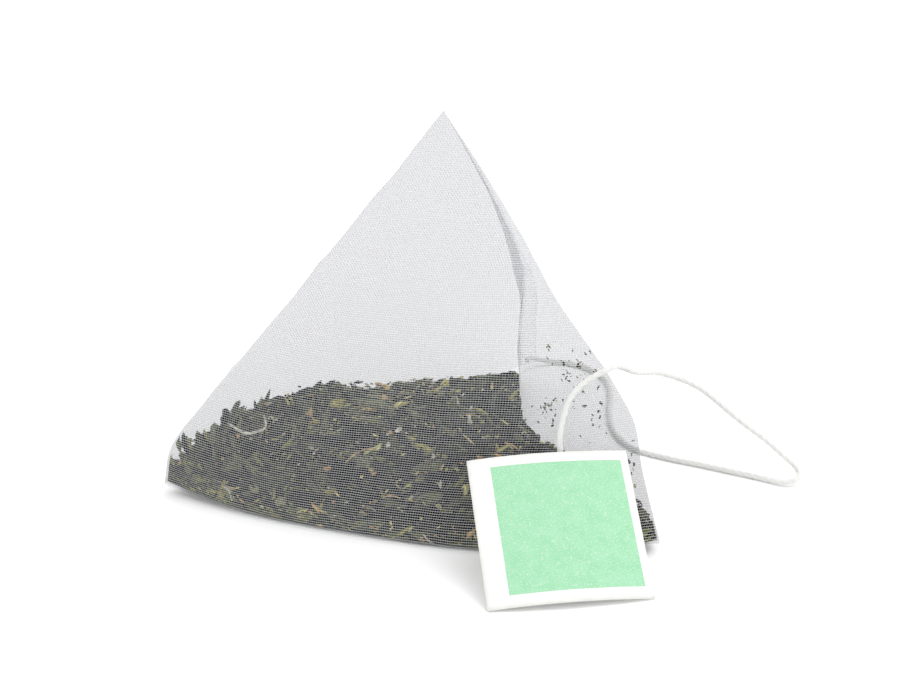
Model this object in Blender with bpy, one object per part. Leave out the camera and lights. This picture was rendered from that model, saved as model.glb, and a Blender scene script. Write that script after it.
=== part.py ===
"""Pyramid tea bag: a woven nylon mesh bag with leaf tea inside, a cotton thread and a square paper tag.

The bag is a tube of mesh closed by two straight seals at right angles to each other. The front seal
lies along X at the foot of the front face, and the back seal climbs from the back corner to the apex.
The bag stands on its base face. The origin is at the middle of the bag's footprint, on the floor.
Sizes in the list below are in millimetres and the model is made in metres.
"""
import math

import bmesh
import bpy
import numpy as np
from mathutils import Vector
from mathutils.bvhtree import BVHTree

MM = 0.001

# The bag's corners, measured between the ends of its seals
FRONT_WIDTH = 56.8
DEPTH = 45.0
APEX_HEIGHT = 44.6
APEX_SET_BACK = 8.1
APEX_SIDE_STEP = 2.5
BACK_SIDE_STEP = 3.3
CORNER_LIFT = 1.1

# The base is pressed flat on the floor where it would be less than this above it
BASE_PRESSED = 0.06

# The mesh, and the seals with their fins
WALL = 0.36
FRONT_FIN_WIDTH = 0.7
FRONT_FIN_TILT = 15.0
BACK_FIN_WIDTH = 2.3
BACK_FIN_FOLD = 68.0
BACK_FIN_TAPER = 7.0
FIN_THICKNESS = 0.3
SEAL_END_REACH = 1.6
GAPS_PER_HALF_WIDTH = 7
BAR_SHARE = 0.32

# How far each face swells out of its flat triangle, in millimetres; the right one is pushed in
SWELL = {"front": 1.4, "left": 2.0, "right": -1.2}

# How far each edge leaves its straight line sideways, at a share of the way along it
APEX_TO_LEFT = ((0, 0), (0.25, -0.5), (0.5, -1.2), (0.78, -2.1), (0.9, -2.3), (1, 0))
APEX_TO_RIGHT = ((0, 0), (0.15, 1.0), (0.45, 1.7), (0.72, 2.8), (0.87, 1.0), (1, 0))
APEX_TO_BACK = ((0, 0), (0.3, 2.9), (0.55, 3.9), (0.8, 1.4), (1, 0))
BACK_TO_RIGHT = ((0, 0), (0.35, -4.4), (0.55, -3.2), (0.8, 1.2), (1, 0))
BACK_TO_LEFT = ((0, 0), (0.5, -1.2), (1, 0))

# How far the right fold is pushed back where the tag leans on it
APEX_TO_RIGHT_BACK = ((0, 0), (0.45, 1.4), (0.72, 2.9), (0.87, 2.2), (1, 0))

# How far the front seal bows forward, at a share of the way from the left corner to the right one
SEAL_BOW = ((0, 0), (0.2, 3.0), (0.42, 4.5), (0.62, 4.9), (0.85, 2.9), (1, 0))

# The tea: how high it stands against each wall, from one corner to the next, and at its crest
TEA_MARGIN = 0.8
CLEARANCE = 0.3
TEA_ON_FRONT = ((0, 2.6), (0.2, 8.0), (0.5, 9.0), (0.8, 7.0), (1, 3.0))
TEA_ON_RIGHT = ((0, 3.0), (0.25, 2.6), (0.6, 1.8), (1, 1.4))
TEA_ON_LEFT = ((0, 1.4), (0.35, 4.0), (0.75, 8.5), (1, 2.6))
TEA_CREST = 10.0
TEA_CREST_SIDE_STEP = -5.0
TEA_CREST_AHEAD = 3.0
TEA_SHORT_OF_BACK = 4.5
TEA_SIDE_SHARES = (0.0, 0.2, 0.4, 0.6, 0.8, 1.0)
TEA_TOP_SHARES = (0.12, 0.24, 0.36, 0.48, 0.6, 0.74, 0.88)
TEA_TOP_INSET = 0.02

# The leaves make ridges in the heap: how deep, how far apart, and how they wander
RIDGE_DEPTH = 1.0
RIDGE_PITCH = 3.3
RIDGE_WANDER = 1.4
RIDGE_WANDER_PITCH = 13.0

# Single leaves and stalks on the tea, in rows and columns round its crest, whose pitches are shares of
# the bag's depth and width. A row is given by its number and its first and last column.
LEAF_ROWS = ((-2, -1, 2), (-1, -2, 2), (0, 0, 2), (1, -1, 0), (2, 0, 1), (3, 0, 0))
LEAF_ROW_PITCH = 0.107
LEAF_COLUMN_PITCH = 0.155
LEAF_HEADING = 0.4
LEAF_LENGTH = 8.0
LEAF_WIDTH = 1.5
LEAF_THICKNESS = 0.7
LEAF_CURL = 1.1
LEAF_TWIST = 1.4
STALK_LENGTH = 7.0
STALK_DIAMETER = 0.6
STALK_CURL = 1.6
STRIP_STEPS = 6
STRIP_BEND = 0.3
STRIP_FULLNESS = 0.6

# The tag leans on the front of the bag with its foot on the floor
TAG_SIZE = 17.2
TAG_THICKNESS = 0.3
TAG_BOW = 0.7
TAG_SIDE_STEP = 13.6
TAG_AHEAD = 16.7
TAG_TURN = 23.0
TAG_COLUMNS = 8
TAG_ROWS = 4
LEAST_LEAN = 30.0
MOST_LEAN = 80.0

# Where the thread runs on the tag's back: its share of the width, and the heights it passes
THREAD_ON_TAG = 0.59
THREAD_ROOM_SHARE = 0.1
THREAD_HEIGHTS_ON_TAG = (1.0, 0.85, 0.7, 0.5)
THREAD_OFF_TAG = 0.33

# The thread: from the bag's back corner, behind the bag to the floor, back in an arch over the bag's
# right fold and down its front. Its places are across, behind the line between the front corners,
# and up, for a bag of the route's sizes; they are stretched for a bag of other sizes.
ROUTE_FOR_WIDTH = 56.8
ROUTE_FOR_DEPTH = 45.0
ROUTE_FOR_HEIGHT = 44.6
THREAD_DIAMETER = 0.65
THREAD_POINT_SPACING = 2.6 * THREAD_DIAMETER
THREAD_ROUTE = (
    (4.05, 45.77, 2),
    (4.4, 47.72, 1.5),
    (6, 49.52, 0.6),
    (8.8, 50.02, 0.36),
    (12.2, 48.52, 0.36),
    (14.9, 45.22, 0.36),
    (16.3, 40.42, 0.36),
    (17.1, 35.02, 0.36),
    (18.5, 29.62, 0.36),
    (21.3, 25.22, 0.36),
    (25.3, 23.42, 0.36),
    (31, 22.12, 0.36),
    (36.6, 20.72, 0.36),
    (39.6, 19.82, 0.42),
    (41, 19.92, 0.65),
    (41.7, 20.92, 1),
    (41.2, 21.82, 1.6),
    (39.7, 21.92, 2.8),
    (37.6, 21.97, 4.5),
    (34.2, 22.22, 6.7),
    (29.5, 22.12, 10.2),
    (25.5, 20.22, 12.3),
    (23.2, 15.02, 14.3),
    (22.3, 9.42, 17),
    (22.1, 6.52, 18.25),
    (21.3, 4.67, 18.45),
    (19.2, 3.52, 17.25),
    (17.95, 2.42, 15.85),
    (17.4, 1.42, 14),
    (17.2, 0.65, 12),
)

MESH_WHITE = (0.86, 0.87, 0.88)
LEAF_GREEN = (0.045, 0.055, 0.045)
STALK_STRAW = (0.62, 0.52, 0.26)
COTTON_WHITE = (0.9, 0.9, 0.88)
PAPER_WHITE = (0.93, 0.93, 0.91)


def clear_scene():
    for thing in list(bpy.data.objects):
        bpy.data.objects.remove(thing, do_unlink=True)


def material(name, colour, roughness):
    finish = bpy.data.materials.new(name)
    finish.use_nodes = True
    shader = finish.node_tree.nodes["Principled BSDF"]
    shader.inputs["Base Color"].default_value = (*colour, 1.0)
    shader.inputs["Roughness"].default_value = roughness
    shader.inputs["Metallic"].default_value = 0.0
    return finish


def add_object(name, bm, finish):
    """Scales a bmesh from millimetres to metres and makes it a named object."""
    bmesh.ops.scale(bm, vec=(MM, MM, MM), verts=bm.verts)
    bm.normal_update()
    mesh = bpy.data.meshes.new(name)
    bm.to_mesh(mesh)
    bm.free()
    mesh.materials.append(finish)
    thing = bpy.data.objects.new(name, mesh)
    bpy.context.scene.collection.objects.link(thing)
    return thing


def bend(table, t):
    """Reads a smooth curve through (place, value) pairs."""
    places = [row[0] for row in table]
    values = [row[1] for row in table]
    k = min(max(int(np.searchsorted(places, t, side="right")) - 1, 0), len(table) - 2)

    def slope(i):
        low = max(i - 1, 0)
        high = min(i + 1, len(table) - 1)
        return (values[high] - values[low]) / (places[high] - places[low])

    span = places[k + 1] - places[k]
    s = (t - places[k]) / span
    rise = values[k + 1] - values[k]
    start, end = slope(k) * span, slope(k + 1) * span
    return values[k] + s * start + s * s * (3 * rise - 2 * start - end) + s ** 3 * (start + end - 2 * rise)


# The bag's surface. A point on it is given by its shares of the four corners: apex, left, right, back.

def corner_points():
    reach_front = max(row[1] for row in SEAL_BOW)
    reach_front += FRONT_FIN_WIDTH * math.cos(math.radians(FRONT_FIN_TILT))
    seal_slope = math.atan2(APEX_HEIGHT, DEPTH - APEX_SET_BACK)
    reach_back = BACK_FIN_WIDTH * math.cos(math.radians(BACK_FIN_FOLD)) * math.sin(seal_slope)
    front = (reach_front - DEPTH - reach_back) / 2
    floor = WALL / 2
    return {
        "apex": np.array((APEX_SIDE_STEP, front + APEX_SET_BACK, APEX_HEIGHT)),
        "left": np.array((-FRONT_WIDTH / 2, front, floor + CORNER_LIFT)),
        "right": np.array((FRONT_WIDTH / 2, front, floor + CORNER_LIFT)),
        "back": np.array((BACK_SIDE_STEP, front + DEPTH, floor + CORNER_LIFT)),
    }


CORNER = corner_points()
SIDEWAYS = {
    ("apex", "left"): APEX_TO_LEFT,
    ("apex", "right"): APEX_TO_RIGHT,
    ("apex", "back"): APEX_TO_BACK,
    ("back", "right"): BACK_TO_RIGHT,
    ("back", "left"): BACK_TO_LEFT,
}
FACES = {
    "front": ("apex", "left", "right"),
    "left": ("apex", "back", "left"),
    "right": ("apex", "right", "back"),
}
FLAT_SHARE = 0.7


def corner_rise(share):
    """Height above the flat part of the base, near a corner that has this share of the point."""
    return CORNER_LIFT * max(0.0, (share - FLAT_SHARE) / (1 - FLAT_SHARE)) ** 2


def edge_offset(first, second, t):
    offset = np.zeros(3)
    if (first, second) in SIDEWAYS:
        offset[0] = bend(SIDEWAYS[first, second], t)
    if (first, second) == ("apex", "right"):
        offset[1] = bend(APEX_TO_RIGHT_BACK, t)
    if (first, second) == ("left", "right"):
        offset[1] = -bend(SEAL_BOW, t)
    if first != "apex":
        offset[2] = corner_rise(max(t, 1 - t)) - CORNER_LIFT
    return offset


EDGES = (("apex", "left"), ("apex", "right"), ("apex", "back"), ("back", "right"), ("back", "left"),
         ("left", "right"))


def face_normal(face):
    first, second, third = (CORNER[name] for name in FACES[face])
    normal = np.cross(second - first, third - first)
    return normal / np.linalg.norm(normal)


def surface(share):
    """The middle of the mesh at these shares of the corners, of which at most three aren't zero."""
    point = sum(share[name] * CORNER[name] for name in CORNER)
    for first, second in EDGES:
        both = share[first] + share[second]
        if both > 1e-9:
            point = point + both ** 2 * edge_offset(first, second, share[second] / both)
    for face, names in FACES.items():
        # the factor makes the swell 1 in the middle of the face, where each share is a third
        swell = 3 ** 3 * share[names[0]] * share[names[1]] * share[names[2]]
        point = point + SWELL[face] * swell * face_normal(face)
    if share["apex"] < 1e-9:
        point[2] = WALL / 2 + corner_rise(max(share["left"], share["right"], share["back"]))
    return point


def shares(around, along):
    """Corner shares at a place on the flat tube: around runs 0 to 4 half widths, along 0 to 1.

    The front seal is at along 0, from the left corner at 0 to the right corner at 2. The back seal is
    at along 1, from the apex at 1 to the back corner at 3.
    """
    if along <= around <= 2 - along:
        right = (around - along) / 2
        return {"apex": along, "right": right, "left": 1 - along - right, "back": 0.0}
    if abs(around - 2) <= along:
        back = (around - 2 + along) / 2
        return {"apex": along - back, "right": 1 - along, "left": 0.0, "back": back}
    if 2 + along <= around <= 4 - along:
        left = (around - 2 - along) / 2
        return {"apex": 0.0, "right": 1 - along - left, "left": left, "back": along}
    wrapped = around - 4 if around > 2 else around
    apex = (wrapped + along) / 2
    return {"apex": apex, "right": 0.0, "left": 1 - along, "back": along - apex}


def strip_places():
    """Edges of the bars and gaps across one half width, from 0 to 1, with half a bar at each end."""
    pitch = 1 / GAPS_PER_HALF_WIDTH
    half_bar = BAR_SHARE * pitch / 2
    places = [0.0]
    for k in range(GAPS_PER_HALF_WIDTH):
        places += [k * pitch + half_bar, (k + 1) * pitch - half_bar]
    return places + [1.0]


def is_open(column, row, steps):
    """True where the mesh has a gap: on the three upper faces, away from the folds and the tips."""
    if column % steps % 2 == 0 or row % 2 == 0:
        return False
    block, place = divmod(column, steps)
    if block % 2:
        place = steps - 1 - place
    if place == row:
        return False
    on_base = block >= 2 and place > row
    second_row = 3
    last_row_but_one = steps - 4
    beside_tip = row == last_row_but_one and place > row or row == second_row and place < row
    return not on_base and not beside_tip


def unit(vector):
    return vector / np.linalg.norm(vector)


def fin_directions(first, second):
    """Which way a seal's fin sticks out, and the normal of its side next to the first half's wall."""
    along = unit(CORNER[second] - CORNER[first])
    if first == "left":
        tilt = math.radians(FRONT_FIN_TILT)
        out = np.array((0.0, -math.cos(tilt), math.sin(tilt)))
        return out, unit(np.cross(out, along))
    straight = unit(np.cross(along, (-1.0, 0.0, 0.0)))
    side = unit(np.cross(straight, along))
    fold = math.radians(BACK_FIN_FOLD)
    side = side if side[0] > 0 else -side
    out = math.cos(fold) * straight + math.sin(fold) * side
    return out, unit(np.cross(along, out))


def fin_width(first, from_apex):
    """The width of the fin on the seal from this corner; the back one is narrower close to the apex."""
    if first == "left":
        return FRONT_FIN_WIDTH
    full = min(1.0, 0.2 + 0.8 * from_apex / BACK_FIN_TAPER)
    return BACK_FIN_WIDTH * full


def mesh_bag(finish):
    """One closed lattice: an outer and an inner shell on the same grid, joined round every gap."""
    places = strip_places()
    steps = len(places) - 1
    columns = 4 * steps
    around = []
    for block in range(4):
        ordered = places[:-1] if block % 2 == 0 else [1 - p for p in places[:0:-1]]
        around += [block + p for p in ordered]
    middle = np.array([[surface(shares(u, v)) for u in around] for v in places])

    normals = np.zeros_like(middle)
    for row in range(steps):
        for column in range(columns):
            corners = [(row, column), (row, (column + 1) % columns),
                       (row + 1, (column + 1) % columns), (row + 1, column)]
            a, b, c, d = (middle[place] for place in corners)
            facing = np.cross(c - a, d - b)
            for place in corners:
                normals[place] += facing
    normals /= np.linalg.norm(normals, axis=2, keepdims=True)

    bm = bmesh.new()
    outer = [[None] * columns for _ in range(steps + 1)]
    inner = [[None] * columns for _ in range(steps + 1)]
    for row in range(1, steps):
        for column in range(columns):
            lift = normals[row, column] * WALL / 2
            outer[row][column] = bm.verts.new(middle[row, column] + lift)
            inner[row][column] = bm.verts.new(middle[row, column] - lift)

    def seal_end(row, start, first, second):
        """Makes the seal's rows: both sides of the fin, its cut edge, and the line the inside ends in."""
        out, side_normal = fin_directions(first, second)
        count = columns // 2
        fin = []
        centre = (CORNER[first] + CORNER[second]) / 2
        along = unit(CORNER[second] - CORNER[first])
        for k in range(count + 1):
            column = (start + k) % columns
            mirror = (start - k) % columns
            seam = middle[row, column]
            thick = 0.0 if k in (0, count) else FIN_THICKNESS / 2
            toward = 1 if (seam - centre) @ along < 0 else -1
            reach = along * toward * SEAL_END_REACH if k in (0, count) else np.zeros(3)
            pinch = bm.verts.new(seam - out * WALL + reach)
            inner[row][column] = inner[row][mirror] = pinch
            for place, sign in ((column, 1), (mirror, -1)):
                if outer[row][place] is None:
                    outer[row][place] = bm.verts.new(seam + side_normal * sign * thick)
            edge = seam + out * fin_width(first, np.linalg.norm(seam - CORNER["apex"]))
            tip = other_tip = bm.verts.new(edge + side_normal * thick)
            if thick:
                other_tip = bm.verts.new(edge - side_normal * thick)
            fin.append((outer[row][column], outer[row][mirror], tip, other_tip))
        for near, far in zip(fin, fin[1:]):
            add_face(bm, near[0], near[2], far[2], far[0])
            add_face(bm, near[1], far[1], far[3], near[3])
            add_face(bm, near[2], near[3], far[3], far[2])

    seal_end(0, 0, "left", "right")
    seal_end(steps, steps, "apex", "back")

    for row in range(steps):
        for column in range(columns):
            nxt = (column + 1) % columns
            ring = [(row, column), (row, nxt), (row + 1, nxt), (row + 1, column)]
            out_ring = [outer[r][c] for r, c in ring]
            in_ring = [inner[r][c] for r, c in ring]
            if is_open(column, row, steps):
                for k in range(4):
                    add_face(bm, out_ring[k], in_ring[k], in_ring[(k + 1) % 4], out_ring[(k + 1) % 4])
                continue
            rising = (column // steps) % 2 == 0
            for corners, flip in ((out_ring, False), (in_ring, True)):
                a, b, c, d = corners
                halves = ((a, b, c), (a, c, d)) if rising else ((a, b, d), (b, c, d))
                for half in halves:
                    add_face(bm, *(reversed(half) if flip else half))
    bmesh.ops.recalc_face_normals(bm, faces=bm.faces)
    for vert in bm.verts:
        if vert.co.z < BASE_PRESSED:
            vert.co.z = 0.0
    return add_object("mesh_bag", bm, finish)


def add_face(bm, *corners):
    """Adds a face, leaving out corners that are the same point."""
    kept = []
    for corner in corners:
        if corner not in kept:
            kept.append(corner)
    if len(kept) > 2:
        bm.faces.new(kept)


# The tea follows the inside of the bag, ring by ring from the middle of its underside to its crest.

WALLS = (("left", "right", TEA_ON_FRONT), ("right", "back", TEA_ON_RIGHT), ("back", "left", TEA_ON_LEFT))
RING_STEPS = 30
HALVINGS = 30


def ring_places():
    for first, second, heights in WALLS:
        for k in range(RING_STEPS):
            yield first, second, heights, k / RING_STEPS


def base_centre():
    """The point of the base that is equally far from its three edges."""
    names = ("left", "right", "back")
    weights = []
    for k, name in enumerate(names):
        across = CORNER[names[(k + 1) % 3]] - CORNER[names[(k + 2) % 3]]
        weights.append(np.linalg.norm(across))
    inside = sum(weight * CORNER[name] for weight, name in zip(weights, names)) / sum(weights)
    across = CORNER["right"] - CORNER["left"]
    radius = abs(np.cross(across, inside - CORNER["left"])[2]) / np.linalg.norm(across)
    return inside, radius


def wall_point(first, second, t, height):
    """A point of the bag's wall above the base edge from first to second, at this height."""
    low, high = 0.0, 1.0
    for _ in range(HALVINGS):
        rise = (low + high) / 2
        share = {name: 0.0 for name in CORNER}
        share["apex"] = rise
        share[first] = (1 - rise) * (1 - t)
        share[second] = (1 - rise) * t
        point = surface(share)
        if point[2] < height:
            low = rise
        else:
            high = rise
    return point, rise


def ridge(point):
    """How deep the heap is drawn in between its leaves, at a point of its outer form."""
    wander = RIDGE_WANDER * math.sin(2 * math.pi * point[0] / RIDGE_WANDER_PITCH)
    phase = 2 * math.pi * (point[1] + point[2] + wander) / RIDGE_PITCH
    return RIDGE_DEPTH * (0.5 - 0.5 * math.cos(phase))


def heap_rings():
    centre, radius = base_centre()
    shrink = 1 - TEA_MARGIN / radius
    underside = WALL + CLEARANCE
    sides = [[] for _ in TEA_SIDE_SHARES]
    for first, second, heights, t in ring_places():
        foot, _ = wall_point(first, second, t, 0.0)
        top_height = max(bend(heights, t), foot[2] + TEA_MARGIN)
        for ring, share in zip(sides, TEA_SIDE_SHARES):
            height = foot[2] + (top_height - foot[2]) * share
            point, rise = wall_point(first, second, t, height)
            middle = centre + (CORNER["apex"] - centre) * rise
            flat = middle + (point - middle) * (shrink - TEA_TOP_INSET * share)
            flat[1] = min(flat[1], CORNER["back"][1] - TEA_SHORT_OF_BACK)
            flat -= unit(flat - middle) * ridge(flat) * (share > 0)
            ring.append(np.array((flat[0], flat[1], height + WALL / 2 + CLEARANCE)))
    under = []
    for point in sides[0]:
        halfway = (centre + point) / 2
        under.append(np.array((halfway[0], halfway[1], underside)))
    crest = np.array((centre[0] + TEA_CREST_SIDE_STEP, centre[1] - TEA_CREST_AHEAD, TEA_CREST))
    tops = []
    for share in TEA_TOP_SHARES:
        ring = []
        for point in sides[-1]:
            blend = point + (crest - point) * share
            swelled = point[2] + (crest[2] - point[2]) * math.sin(share * math.pi / 2)
            ring.append(np.array((blend[0], blend[1], swelled - ridge(blend))))
        tops.append(ring)
    return [under] + sides + tops, np.array((centre[0], centre[1], underside)), crest


def tea_heap(finish):
    rings, low, crest = heap_rings()
    bm = bmesh.new()
    loops = [[bm.verts.new(point) for point in ring] for ring in rings]
    bottom = bm.verts.new(low)
    top = bm.verts.new(crest)
    count = len(loops[0])
    for k in range(count):
        nxt = (k + 1) % count
        add_face(bm, bottom, loops[0][nxt], loops[0][k])
        add_face(bm, top, loops[-1][k], loops[-1][nxt])
        for lower, upper in zip(loops, loops[1:]):
            add_face(bm, lower[k], lower[nxt], upper[nxt], upper[k])
    bmesh.ops.triangulate(bm, faces=bm.faces)
    bmesh.ops.recalc_face_normals(bm, faces=bm.faces)
    return add_object("tea_heap", bm, finish)


def tree_of(thing):
    bm = bmesh.new()
    bm.from_mesh(thing.data)
    tree = BVHTree.FromBMesh(bm)
    bm.free()
    return tree


def twisted_strip(length, width, thickness, curl, twist, sides):
    """A bent, twisted strip with pointed ends, lying along X through the origin."""
    bm = bmesh.new()

    def spine(t):
        return np.array((length * (t - 0.5), length * STRIP_BEND * curl * (t - 0.5) ** 2, 0.0))

    rings = []
    for step in range(1, STRIP_STEPS):
        t = step / STRIP_STEPS
        fullness = math.sin(math.pi * t) ** STRIP_FULLNESS
        turn = twist * t
        ring = []
        for side in range(sides):
            phase = 2 * math.pi * side / sides
            across = width / 2 * fullness * math.cos(phase)
            over = thickness / 2 * fullness * math.sin(phase)
            y = across * math.cos(turn) - over * math.sin(turn)
            z = across * math.sin(turn) + over * math.cos(turn)
            ring.append(bm.verts.new(spine(t) + np.array((0.0, y, z))))
        rings.append(ring)
    tips = [bm.verts.new(spine(0.0)), bm.verts.new(spine(1.0))]
    for side in range(sides):
        nxt = (side + 1) % sides
        add_face(bm, tips[0], rings[0][nxt], rings[0][side])
        add_face(bm, tips[1], rings[-1][side], rings[-1][nxt])
        for near, far in zip(rings, rings[1:]):
            add_face(bm, near[side], near[nxt], far[nxt], far[side])
    bmesh.ops.triangulate(bm, faces=bm.faces)
    bmesh.ops.recalc_face_normals(bm, faces=bm.faces)
    return bm


def seat_on_heap(bm, tree, x, y, heading):
    """Turns a strip about Z, lays it over the heap's slope and lowers it until its gap is the clearance."""
    above = Vector((x * MM, y * MM, 1.0))
    _, normal, _, _ = tree.ray_cast(above, Vector((0, 0, -1)))
    turn = Vector((0, 0, 1)).rotation_difference(normal).to_matrix()
    spin = np.array(((math.cos(heading), -math.sin(heading)), (math.sin(heading), math.cos(heading))))
    for vert in bm.verts:
        vert.co.xy = spin @ np.array(vert.co.xy)
    bmesh.ops.rotate(bm, matrix=turn, verts=bm.verts)
    bmesh.ops.translate(bm, vec=(x, y, APEX_HEIGHT), verts=bm.verts)
    lowest = math.inf
    for vert in bm.verts:
        hit, _, _, drop = tree.ray_cast(vert.co * MM, Vector((0, 0, -1)))
        if hit is not None:
            lowest = min(lowest, drop / MM)
    bmesh.ops.translate(bm, vec=(0, 0, CLEARANCE - lowest), verts=bm.verts)


def top_pieces(heap, leaf_finish, stalk_finish):
    """Leaves in staggered rows on top of the heap, with a stalk in place of some of them."""
    tree = tree_of(heap)
    crest = heap_rings()[2]
    counts = {"leaf": 0, "stalk": 0}
    for row, first, last in LEAF_ROWS:
        for column in range(first, last + 1):
            x = crest[0] + (column + 0.5 * (row % 2)) * LEAF_COLUMN_PITCH * FRONT_WIDTH
            y = crest[1] + row * LEAF_ROW_PITCH * DEPTH
            turn_number = 3 * row + 5 * column
            if turn_number % 5 == 1:
                kind, finish = "stalk", stalk_finish
                bm = twisted_strip(STALK_LENGTH, STALK_DIAMETER, STALK_DIAMETER, STALK_CURL, 0.0, 5)
            else:
                kind, finish = "leaf", leaf_finish
                length = LEAF_LENGTH * (1.0 - 0.12 * (turn_number % 3))
                bm = twisted_strip(length, LEAF_WIDTH, LEAF_THICKNESS, LEAF_CURL, LEAF_TWIST, 6)
            counts[kind] += 1
            seat_on_heap(bm, tree, x, y, LEAF_HEADING * math.sin(1.7 * turn_number))
            add_object(f"tea_{kind}_{counts[kind]:02d}", bm, finish)


def bow_at(x):
    """How far the tag bows, at a distance from its left edge; less than zero is toward the front."""
    s = x / TAG_SIZE
    return -TAG_BOW * 4 * s * (1 - s)


def on_tag(point, lean, lift):
    """Turns and leans a point that is given along, behind and up the upright tag."""
    x, y, z = point
    turn = math.radians(TAG_TURN)
    back = y * math.cos(lean) + z * math.sin(lean)
    height = z * math.cos(lean) - y * math.sin(lean)
    return np.array((
        TAG_SIDE_STEP + x * math.cos(turn) - back * math.sin(turn),
        CORNER["left"][1] - TAG_AHEAD + x * math.sin(turn) + back * math.cos(turn),
        height + lift,
    ))


def upright_tag():
    """The bowed square of paper before it is leaned."""
    bm = bmesh.new()
    sheets = []
    for side in (-TAG_THICKNESS / 2, TAG_THICKNESS / 2):
        sheet = []
        for row in range(TAG_ROWS + 1):
            xs = [TAG_SIZE * column / TAG_COLUMNS for column in range(TAG_COLUMNS + 1)]
            z = TAG_SIZE * row / TAG_ROWS
            sheet.append([bm.verts.new((x, bow_at(x) + side, z)) for x in xs])
        sheets.append(sheet)
    front, back = sheets
    for row in range(TAG_ROWS):
        for column in range(TAG_COLUMNS):
            for sheet in sheets:
                add_face(bm, sheet[row][column], sheet[row][column + 1],
                         sheet[row + 1][column + 1], sheet[row + 1][column])
    rim = [(0, column) for column in range(TAG_COLUMNS)]
    rim += [(row, TAG_COLUMNS) for row in range(TAG_ROWS)]
    rim += [(TAG_ROWS, column) for column in range(TAG_COLUMNS, 0, -1)]
    rim += [(row, 0) for row in range(TAG_ROWS, 0, -1)]
    for (row, column), (next_row, next_column) in zip(rim, rim[1:] + rim[:1]):
        add_face(bm, front[row][column], back[row][column],
                 back[next_row][next_column], front[next_row][next_column])
    bmesh.ops.triangulate(bm, faces=bm.faces)
    bmesh.ops.recalc_face_normals(bm, faces=bm.faces)
    return bm


def tag(bag, finish):
    """Leans the tag back with its foot on the floor until it rests against the bag."""
    bm = upright_tag()
    square = [tuple(vert.co) for vert in bm.verts]
    tree = tree_of(bag)

    def lift_for(lean):
        return -min(on_tag(point, lean, 0.0)[2] for point in square)

    def room_at(lean):
        """The smallest gap to the bag, less the thread's room where the thread runs behind the tag."""
        lift = lift_for(lean)
        least = math.inf
        for point in square:
            gap = tree.find_nearest(Vector(on_tag(point, lean, lift) * MM))[3] / MM
            if abs(point[0] / TAG_SIZE - THREAD_ON_TAG) < THREAD_ROOM_SHARE:
                gap -= THREAD_DIAMETER + CLEARANCE
            least = min(least, gap)
        return least

    lean = math.radians(LEAST_LEAN)
    step = math.radians(MOST_LEAN - LEAST_LEAN) / 8
    while step > 1e-6:
        if lean + step < math.radians(MOST_LEAN) and room_at(lean + step) > CLEARANCE:
            lean += step
        else:
            step /= 2
    lift = lift_for(lean)
    for vert, point in zip(bm.verts, square):
        vert.co = on_tag(point, lean, lift)
    add_object("tag", bm, finish)
    return lean, lift


def smooth_route(route, spacing):
    """Points along a smooth curve through the route's points, about this far apart."""
    route = [np.array(point) for point in route]
    padded = [2 * route[0] - route[1]] + route + [2 * route[-1] - route[-2]]
    points = [route[0]]
    for before, start, end, after in zip(padded, padded[1:], padded[2:], padded[3:]):
        count = max(1, round(np.linalg.norm(end - start) / spacing))
        for k in range(1, count + 1):
            t = k / count
            points.append(0.5 * (2 * start + (end - before) * t
                                 + (2 * before - 5 * start + 4 * end - after) * t ** 2
                                 + (3 * start - before - 3 * end + after) * t ** 3))
    return points


def thread_places(lean, lift):
    """The thread's route for this bag, ending on the back of a tag with this lean and lift."""
    places = []
    for x, y, z in THREAD_ROUTE:
        places.append((
            x * FRONT_WIDTH / ROUTE_FOR_WIDTH,
            CORNER["left"][1] + y * DEPTH / ROUTE_FOR_DEPTH,
            z * APEX_HEIGHT / ROUTE_FOR_HEIGHT,
        ))
    across = THREAD_ON_TAG * TAG_SIZE
    behind = bow_at(across) + TAG_THICKNESS / 2 + THREAD_OFF_TAG + THREAD_DIAMETER / 2
    for share in THREAD_HEIGHTS_ON_TAG:
        places.append(on_tag((across, behind, share * TAG_SIZE), lean, lift))
    return places


def thread(lean, lift, finish):
    points = smooth_route(thread_places(lean, lift), THREAD_POINT_SPACING)
    lowest = min(point[2] for point in points) - THREAD_DIAMETER / 2
    points = [point - np.array((0.0, 0.0, min(lowest, 0.0))) for point in points]
    curve = bpy.data.curves.new("thread", "CURVE")
    curve.dimensions = "3D"
    curve.bevel_depth = THREAD_DIAMETER / 2 * MM
    curve.bevel_resolution = 2
    curve.use_fill_caps = True
    spline = curve.splines.new("POLY")
    spline.points.add(len(points) - 1)
    for place, point in zip(spline.points, points):
        place.co = (*(point * MM), 1.0)
    curve.materials.append(finish)
    thing = bpy.data.objects.new("thread", curve)
    bpy.context.scene.collection.objects.link(thing)
    return thing


def build():
    clear_scene()
    nylon = material("nylon_mesh", MESH_WHITE, 0.45)
    leaf = material("dry_leaf", LEAF_GREEN, 0.75)
    straw = material("pale_stalk", STALK_STRAW, 0.7)
    cotton = material("cotton", COTTON_WHITE, 0.85)
    paper = material("tag_paper", PAPER_WHITE, 0.8)
    bag = mesh_bag(nylon)
    heap = tea_heap(leaf)
    top_pieces(heap, leaf, straw)
    lean, lift = tag(bag, paper)
    thread(lean, lift, cotton)


build()
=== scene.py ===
"""Dresses the pyramid tea bag: woven mesh, loose leaf tea, twisted cotton thread and a paper tag.

Sizes in this file are in millimetres in the row frame, and pieces are made in metres.
"""
import math

import bpy
import numpy as np
from mathutils import Matrix, Vector, noise
from mathutils.bvhtree import BVHTree


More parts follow.
